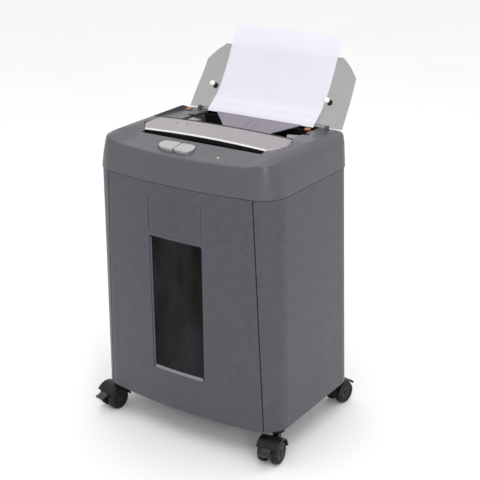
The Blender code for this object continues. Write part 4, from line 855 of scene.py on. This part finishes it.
def build_lid():
    columns = 40
    rows = []
    for y, z, half in LID_LINE:
        row = []
        for i in range(columns + 1):
            x = half * (2 * i / columns - 1)
            crown = LID_CROWN * (1 - (x / 0.155) ** 2) if y < 0.1286 else LID_CROWN * 0.35
            row.append((x, y, z + crown))
        rows.append(row)
    rows = rows[:2] + soften(rows[2:], 3, first=0.08)
    rings = []
    for row in rows:
        top = [(x, y, z + LID_THICK / 2) for x, y, z in row]
        bottom = [(x, y, z - LID_THICK / 2) for x, y, z in reversed(row)]
        rings.append([(x, *opened(y, z)) for x, y, z in top + bottom])
    lid = make("smoked_cover", loft(rings))
    web = [opened(0.1345, 0.5084), opened(0.1345, 0.5142), opened(0.1315, 0.5146), opened(0.1315, 0.5084)]
    combine(lid, plate(web, -0.1235, 0.1235, "YZ"), "UNION")
    combine(lid, rod((-0.1235, *HINGE), (0.1235, *HINGE), 0.0025, 24), "UNION")
    combine(lid, rod((-0.1310, *HINGE), (0.1310, *HINGE), 0.0013, 16), "UNION")
    piece(lid, "smoked_lid", "lid", ["feed_lid"], 0.0006, sharp=45)

    for side, sign in (("left", -1), ("right", 1)):
        crown = LID_CROWN * (1 - (POST_X / 0.155) ** 2)
        under = between(POST_Y, sorted((y, z) for y, z, _ in LID_LINE)) + crown - LID_THICK / 2
        x = sign * POST_X
        foot, tip = under - GAP - 0.0003, under - POST_LENGTH
        length = foot - tip
        start, end = (x, *opened(POST_Y, foot)), (x, *opened(POST_Y, tip))
        profile = [(0, 0.0052), (0.0008, 0.0052), (0.0020, 0.0040), (length - 0.0006, 0.0036),
                   (length, 0.0032)]
        piece(make(f"stop_post_{side}", turned(start, end, profile)), "black_plastic", "lid",
              [f"lid_post_{side}"])
        start, end = (x, *opened(POST_Y, tip - GAP)), (x, *opened(POST_Y, tip - 0.0050))
        profile = [(0, 0.0044), (0.0006, 0.0050), (0.0026, 0.0047), (0.0038, 0.0036), (0.0043, 0.0020)]
        piece(make(f"post_cap_{side}", turned(start, end, profile)), "white_plastic", "lid",
              [f"lid_post_tip_{side}"])


def build_sheet():
    """One loaded sheet: it bends up from the ramp, lies along the open lid and stands past its edge."""
    line = SHEET_LINE + [opened(y, z) for y, z, _ in LID_LINE[4:]] + SHEET_TIP
    line = [(y, z, 0) for y, z in line]
    line = soften(line, 3)
    columns = 24
    thick = 0.0003
    xs = [PAPER_HALF * (2 * k / columns - 1) for k in range(columns + 1)]
    near, far = [], []
    for i, (y, z, _) in enumerate(line):
        before, after = line[max(i - 1, 0)], line[min(i + 1, len(line) - 1)]
        run = Vector((after[0] - before[0], after[1] - before[1])).normalized()
        near.append([(x, y, z) for x in xs])
        far.append([(x, y + run.y * thick, z - run.x * thick) for x in xs])
    rings = [a + b[::-1] for a, b in zip(near, far)]
    piece(make("loaded_sheet", loft(rings)), "paper", "lid", ["paper_sheet"], sharp=60)


# ---------------------------------------------------------------- casters
def build_caster(corner):
    x, y = CASTER_STEMS[corner]
    heading = math.radians(CASTER_HEADINGS[corner])
    stand = Matrix.Translation((x, y, 0)) @ Matrix.Rotation(heading, 4, "Z")
    centre = (CASTER_TRAIL, WHEEL_RADIUS + 0.0003)
    hood_radius = WHEEL_RADIUS + 0.0045

    def put(name, mesh, slot, body, nodes=(), **extra):
        mesh.transform(stand)
        return piece(make(f"{name}_{corner}", mesh), slot, body, nodes, **extra)

    half = 0.0193
    cover = arc(centre, hood_radius, 33.6, 176, 40) + arc(centre, hood_radius - 0.0030, 176, 33.6, 40)
    hood = make("hood", plate(cover, -half, half, "XZ"))
    web = arc(centre, hood_radius - 0.0015, 45, 188, 32) + arc(centre, 0.0075, 225, 405, 24)
    combine(hood, plate(web, -0.0054, 0.0054, "XZ"), "UNION")
    combine(hood, block((-0.0062, -0.0054, 0.0310), (0.0062, 0.0054, 0.0464)), "UNION")
    combine(hood, rod((0, 0, 0.0320), (0, 0, 0.0600), 0.0035))
    combine(hood, rod((centre[0], -0.03, centre[1]), (centre[0], 0.03, centre[1]), 0.0034))
    mesh = hood.data
    bpy.data.objects.remove(hood, do_unlink=True)
    put("caster_cover", mesh, "black_plastic", f"caster_fork_{corner}", [f"caster_hood_{corner}"],
        round_edges=0.0010, segments=3)

    outer = [(-0.0185, 0.0020), (-0.0185, 0.0050), (-0.0180, 0.0056), (-0.0172, 0.0060),
             (-0.0172, 0.0135), (-0.0185, 0.0142), (-0.0183, 0.0170), (-0.0172, 0.0187),
             (-0.0150, 0.0197), (-0.0138, WHEEL_RADIUS), (-0.0122, WHEEL_RADIUS), (-0.0118, 0.0194),
             (-0.0110, 0.0194), (-0.0106, WHEEL_RADIUS), (-0.0088, WHEEL_RADIUS), (-0.0074, 0.0196),
             (-0.0066, 0.0187), (-0.0066, 0.0030)]
    profile = outer + [(-a, r) for a, r in reversed(outer)]
    hub = Vector((CASTER_TRAIL, 0, WHEEL_RADIUS))
    wheels = turned(hub, hub + Vector((0, -1, 0)), profile, 56)
    put("twin_wheel", wheels, "rubber", f"caster_roller_{corner}", [f"caster_wheels_{corner}"], sharp=40)
    for sign in (-1, 1):
        start = hub + Vector((0, sign * 0.0170, 0))
        cap = turned(start, start + Vector((0, sign, 0)),
                     [(0, 0.0128), (0.0007, 0.0126), (0.0010, 0.0110), (0.0006, 0.0100), (0.0006, 0.0050),
                      (0.0012, 0.0042), (0.0014, 0.0020)], 48)
        put(f"hub_disc_{'in' if sign < 0 else 'out'}", cap, "black_plastic", f"caster_roller_{corner}")

    stem = turned((0, 0, 0.0340), (0, 0, 0.0550),
                  [(0, 0.0032), (0.0129, 0.0032), (0.0130, 0.0118), (0.0136, 0.0132), (0.0150, 0.0135),
                   (0.0182, 0.0135), (0.0190, 0.0148), (0.0210, 0.0150)])
    put("swivel_collar", stem, "black_plastic", "housing", [f"caster_stem_{corner}"])
    if corner.startswith("front"):
        lift = math.radians(30)
        pivot = (centre[0] + 0.0232 * math.cos(lift), centre[1] + 0.0232 * math.sin(lift))
        lever = [(-0.0004, -0.0016), (0.0060, -0.0040), (0.0145, -0.0050), (0.0145, -0.0026),
                 (0.0060, -0.0004), (0.0010, 0.0022)]
        lever = [(pivot[0] + u, pivot[1] + v) for u, v in lever]
        pedal = make("pedal", plate(lever, -0.0085, 0.0085, "XZ"))
        for i in range(3):
            u = pivot[0] + 0.0074 + 0.0024 * i
            v = pivot[1] - 0.0004 - (0.0074 + 0.0024 * i - 0.0060) * 0.26
            grip = block((u - 0.0004, -0.0070, v - 0.0012), (u + 0.0004, 0.0070, v + 0.0003))
            combine(pedal, grip, "UNION")
        mesh = pedal.data
        bpy.data.objects.remove(pedal, do_unlink=True)
        put("brake_lever", mesh, "pedal_plastic", f"brake_{corner}", [f"brake_pedal_{corner}"],
            round_edges=0.0004)


# ---------------------------------------------------------------- rear fittings
def build_rear():
    for i, (x, z) in enumerate(((-0.132, 0.430), (0.132, 0.430), (-0.132, 0.250), (0.132, 0.250),
                                (-0.132, 0.080), (0.132, 0.080))):
        y = BACK_BOTTOM + (BACK_TOP - BACK_BOTTOM) * (z - CABINET_BOTTOM) / (CABINET_TOP - CABINET_BOTTOM)
        head = [(0, 0.0034), (0.0006, 0.0034), (0.0012, 0.0028), (0.0015, 0.0014)]
        screw = make("screw", turned((x, y - 0.0002, z), (x, y + 1, z), head, 28))
        for wide, tall in ((0.0019, 0.0004), (0.0004, 0.0019)):
            combine(screw, block((x - wide, y + 0.0005, z - tall), (x + wide, y + 0.01, z + tall)))
        screw.name = f"back_screw_{i + 1}"
        piece(screw, "steel", "housing")
    for name in ("power_inlet", "power_rocker", "bin_switch", "control_board", "drive_motor",
                 "cutter_cheek_left", "cutter_cheek_right", "waste_tub", "head_chassis", "base_plate",
                 "slot_chute"):
        edge = NODES[name].modifiers.new("rounded", "BEVEL")
        edge.width = 0.0003
        edge.limit_method = "ANGLE"


build_cabinet()
build_bin()
build_head()
build_bar()
build_chamber()
build_console()
build_lid()
build_sheet()
for corner in CASTER_STEMS:
    build_caster(corner)
build_rear()

# ---------------------------------------------------------------- floor
FLOOR_HALF = 6.0
FLOOR_THICK = 0.02
square = [(-FLOOR_HALF, -FLOOR_HALF), (FLOOR_HALF, -FLOOR_HALF), (FLOOR_HALF, FLOOR_HALF),
          (-FLOOR_HALF, FLOOR_HALF)]
floor = make("floor", loft([at_height(square, -FLOOR_THICK), at_height(square, 0)]))
floor.data.materials.append(surface("floor", (0.90, 0.90, 0.90), 0.7, tone=0.01, tone_scale=3,
                                    depth=0.00001))
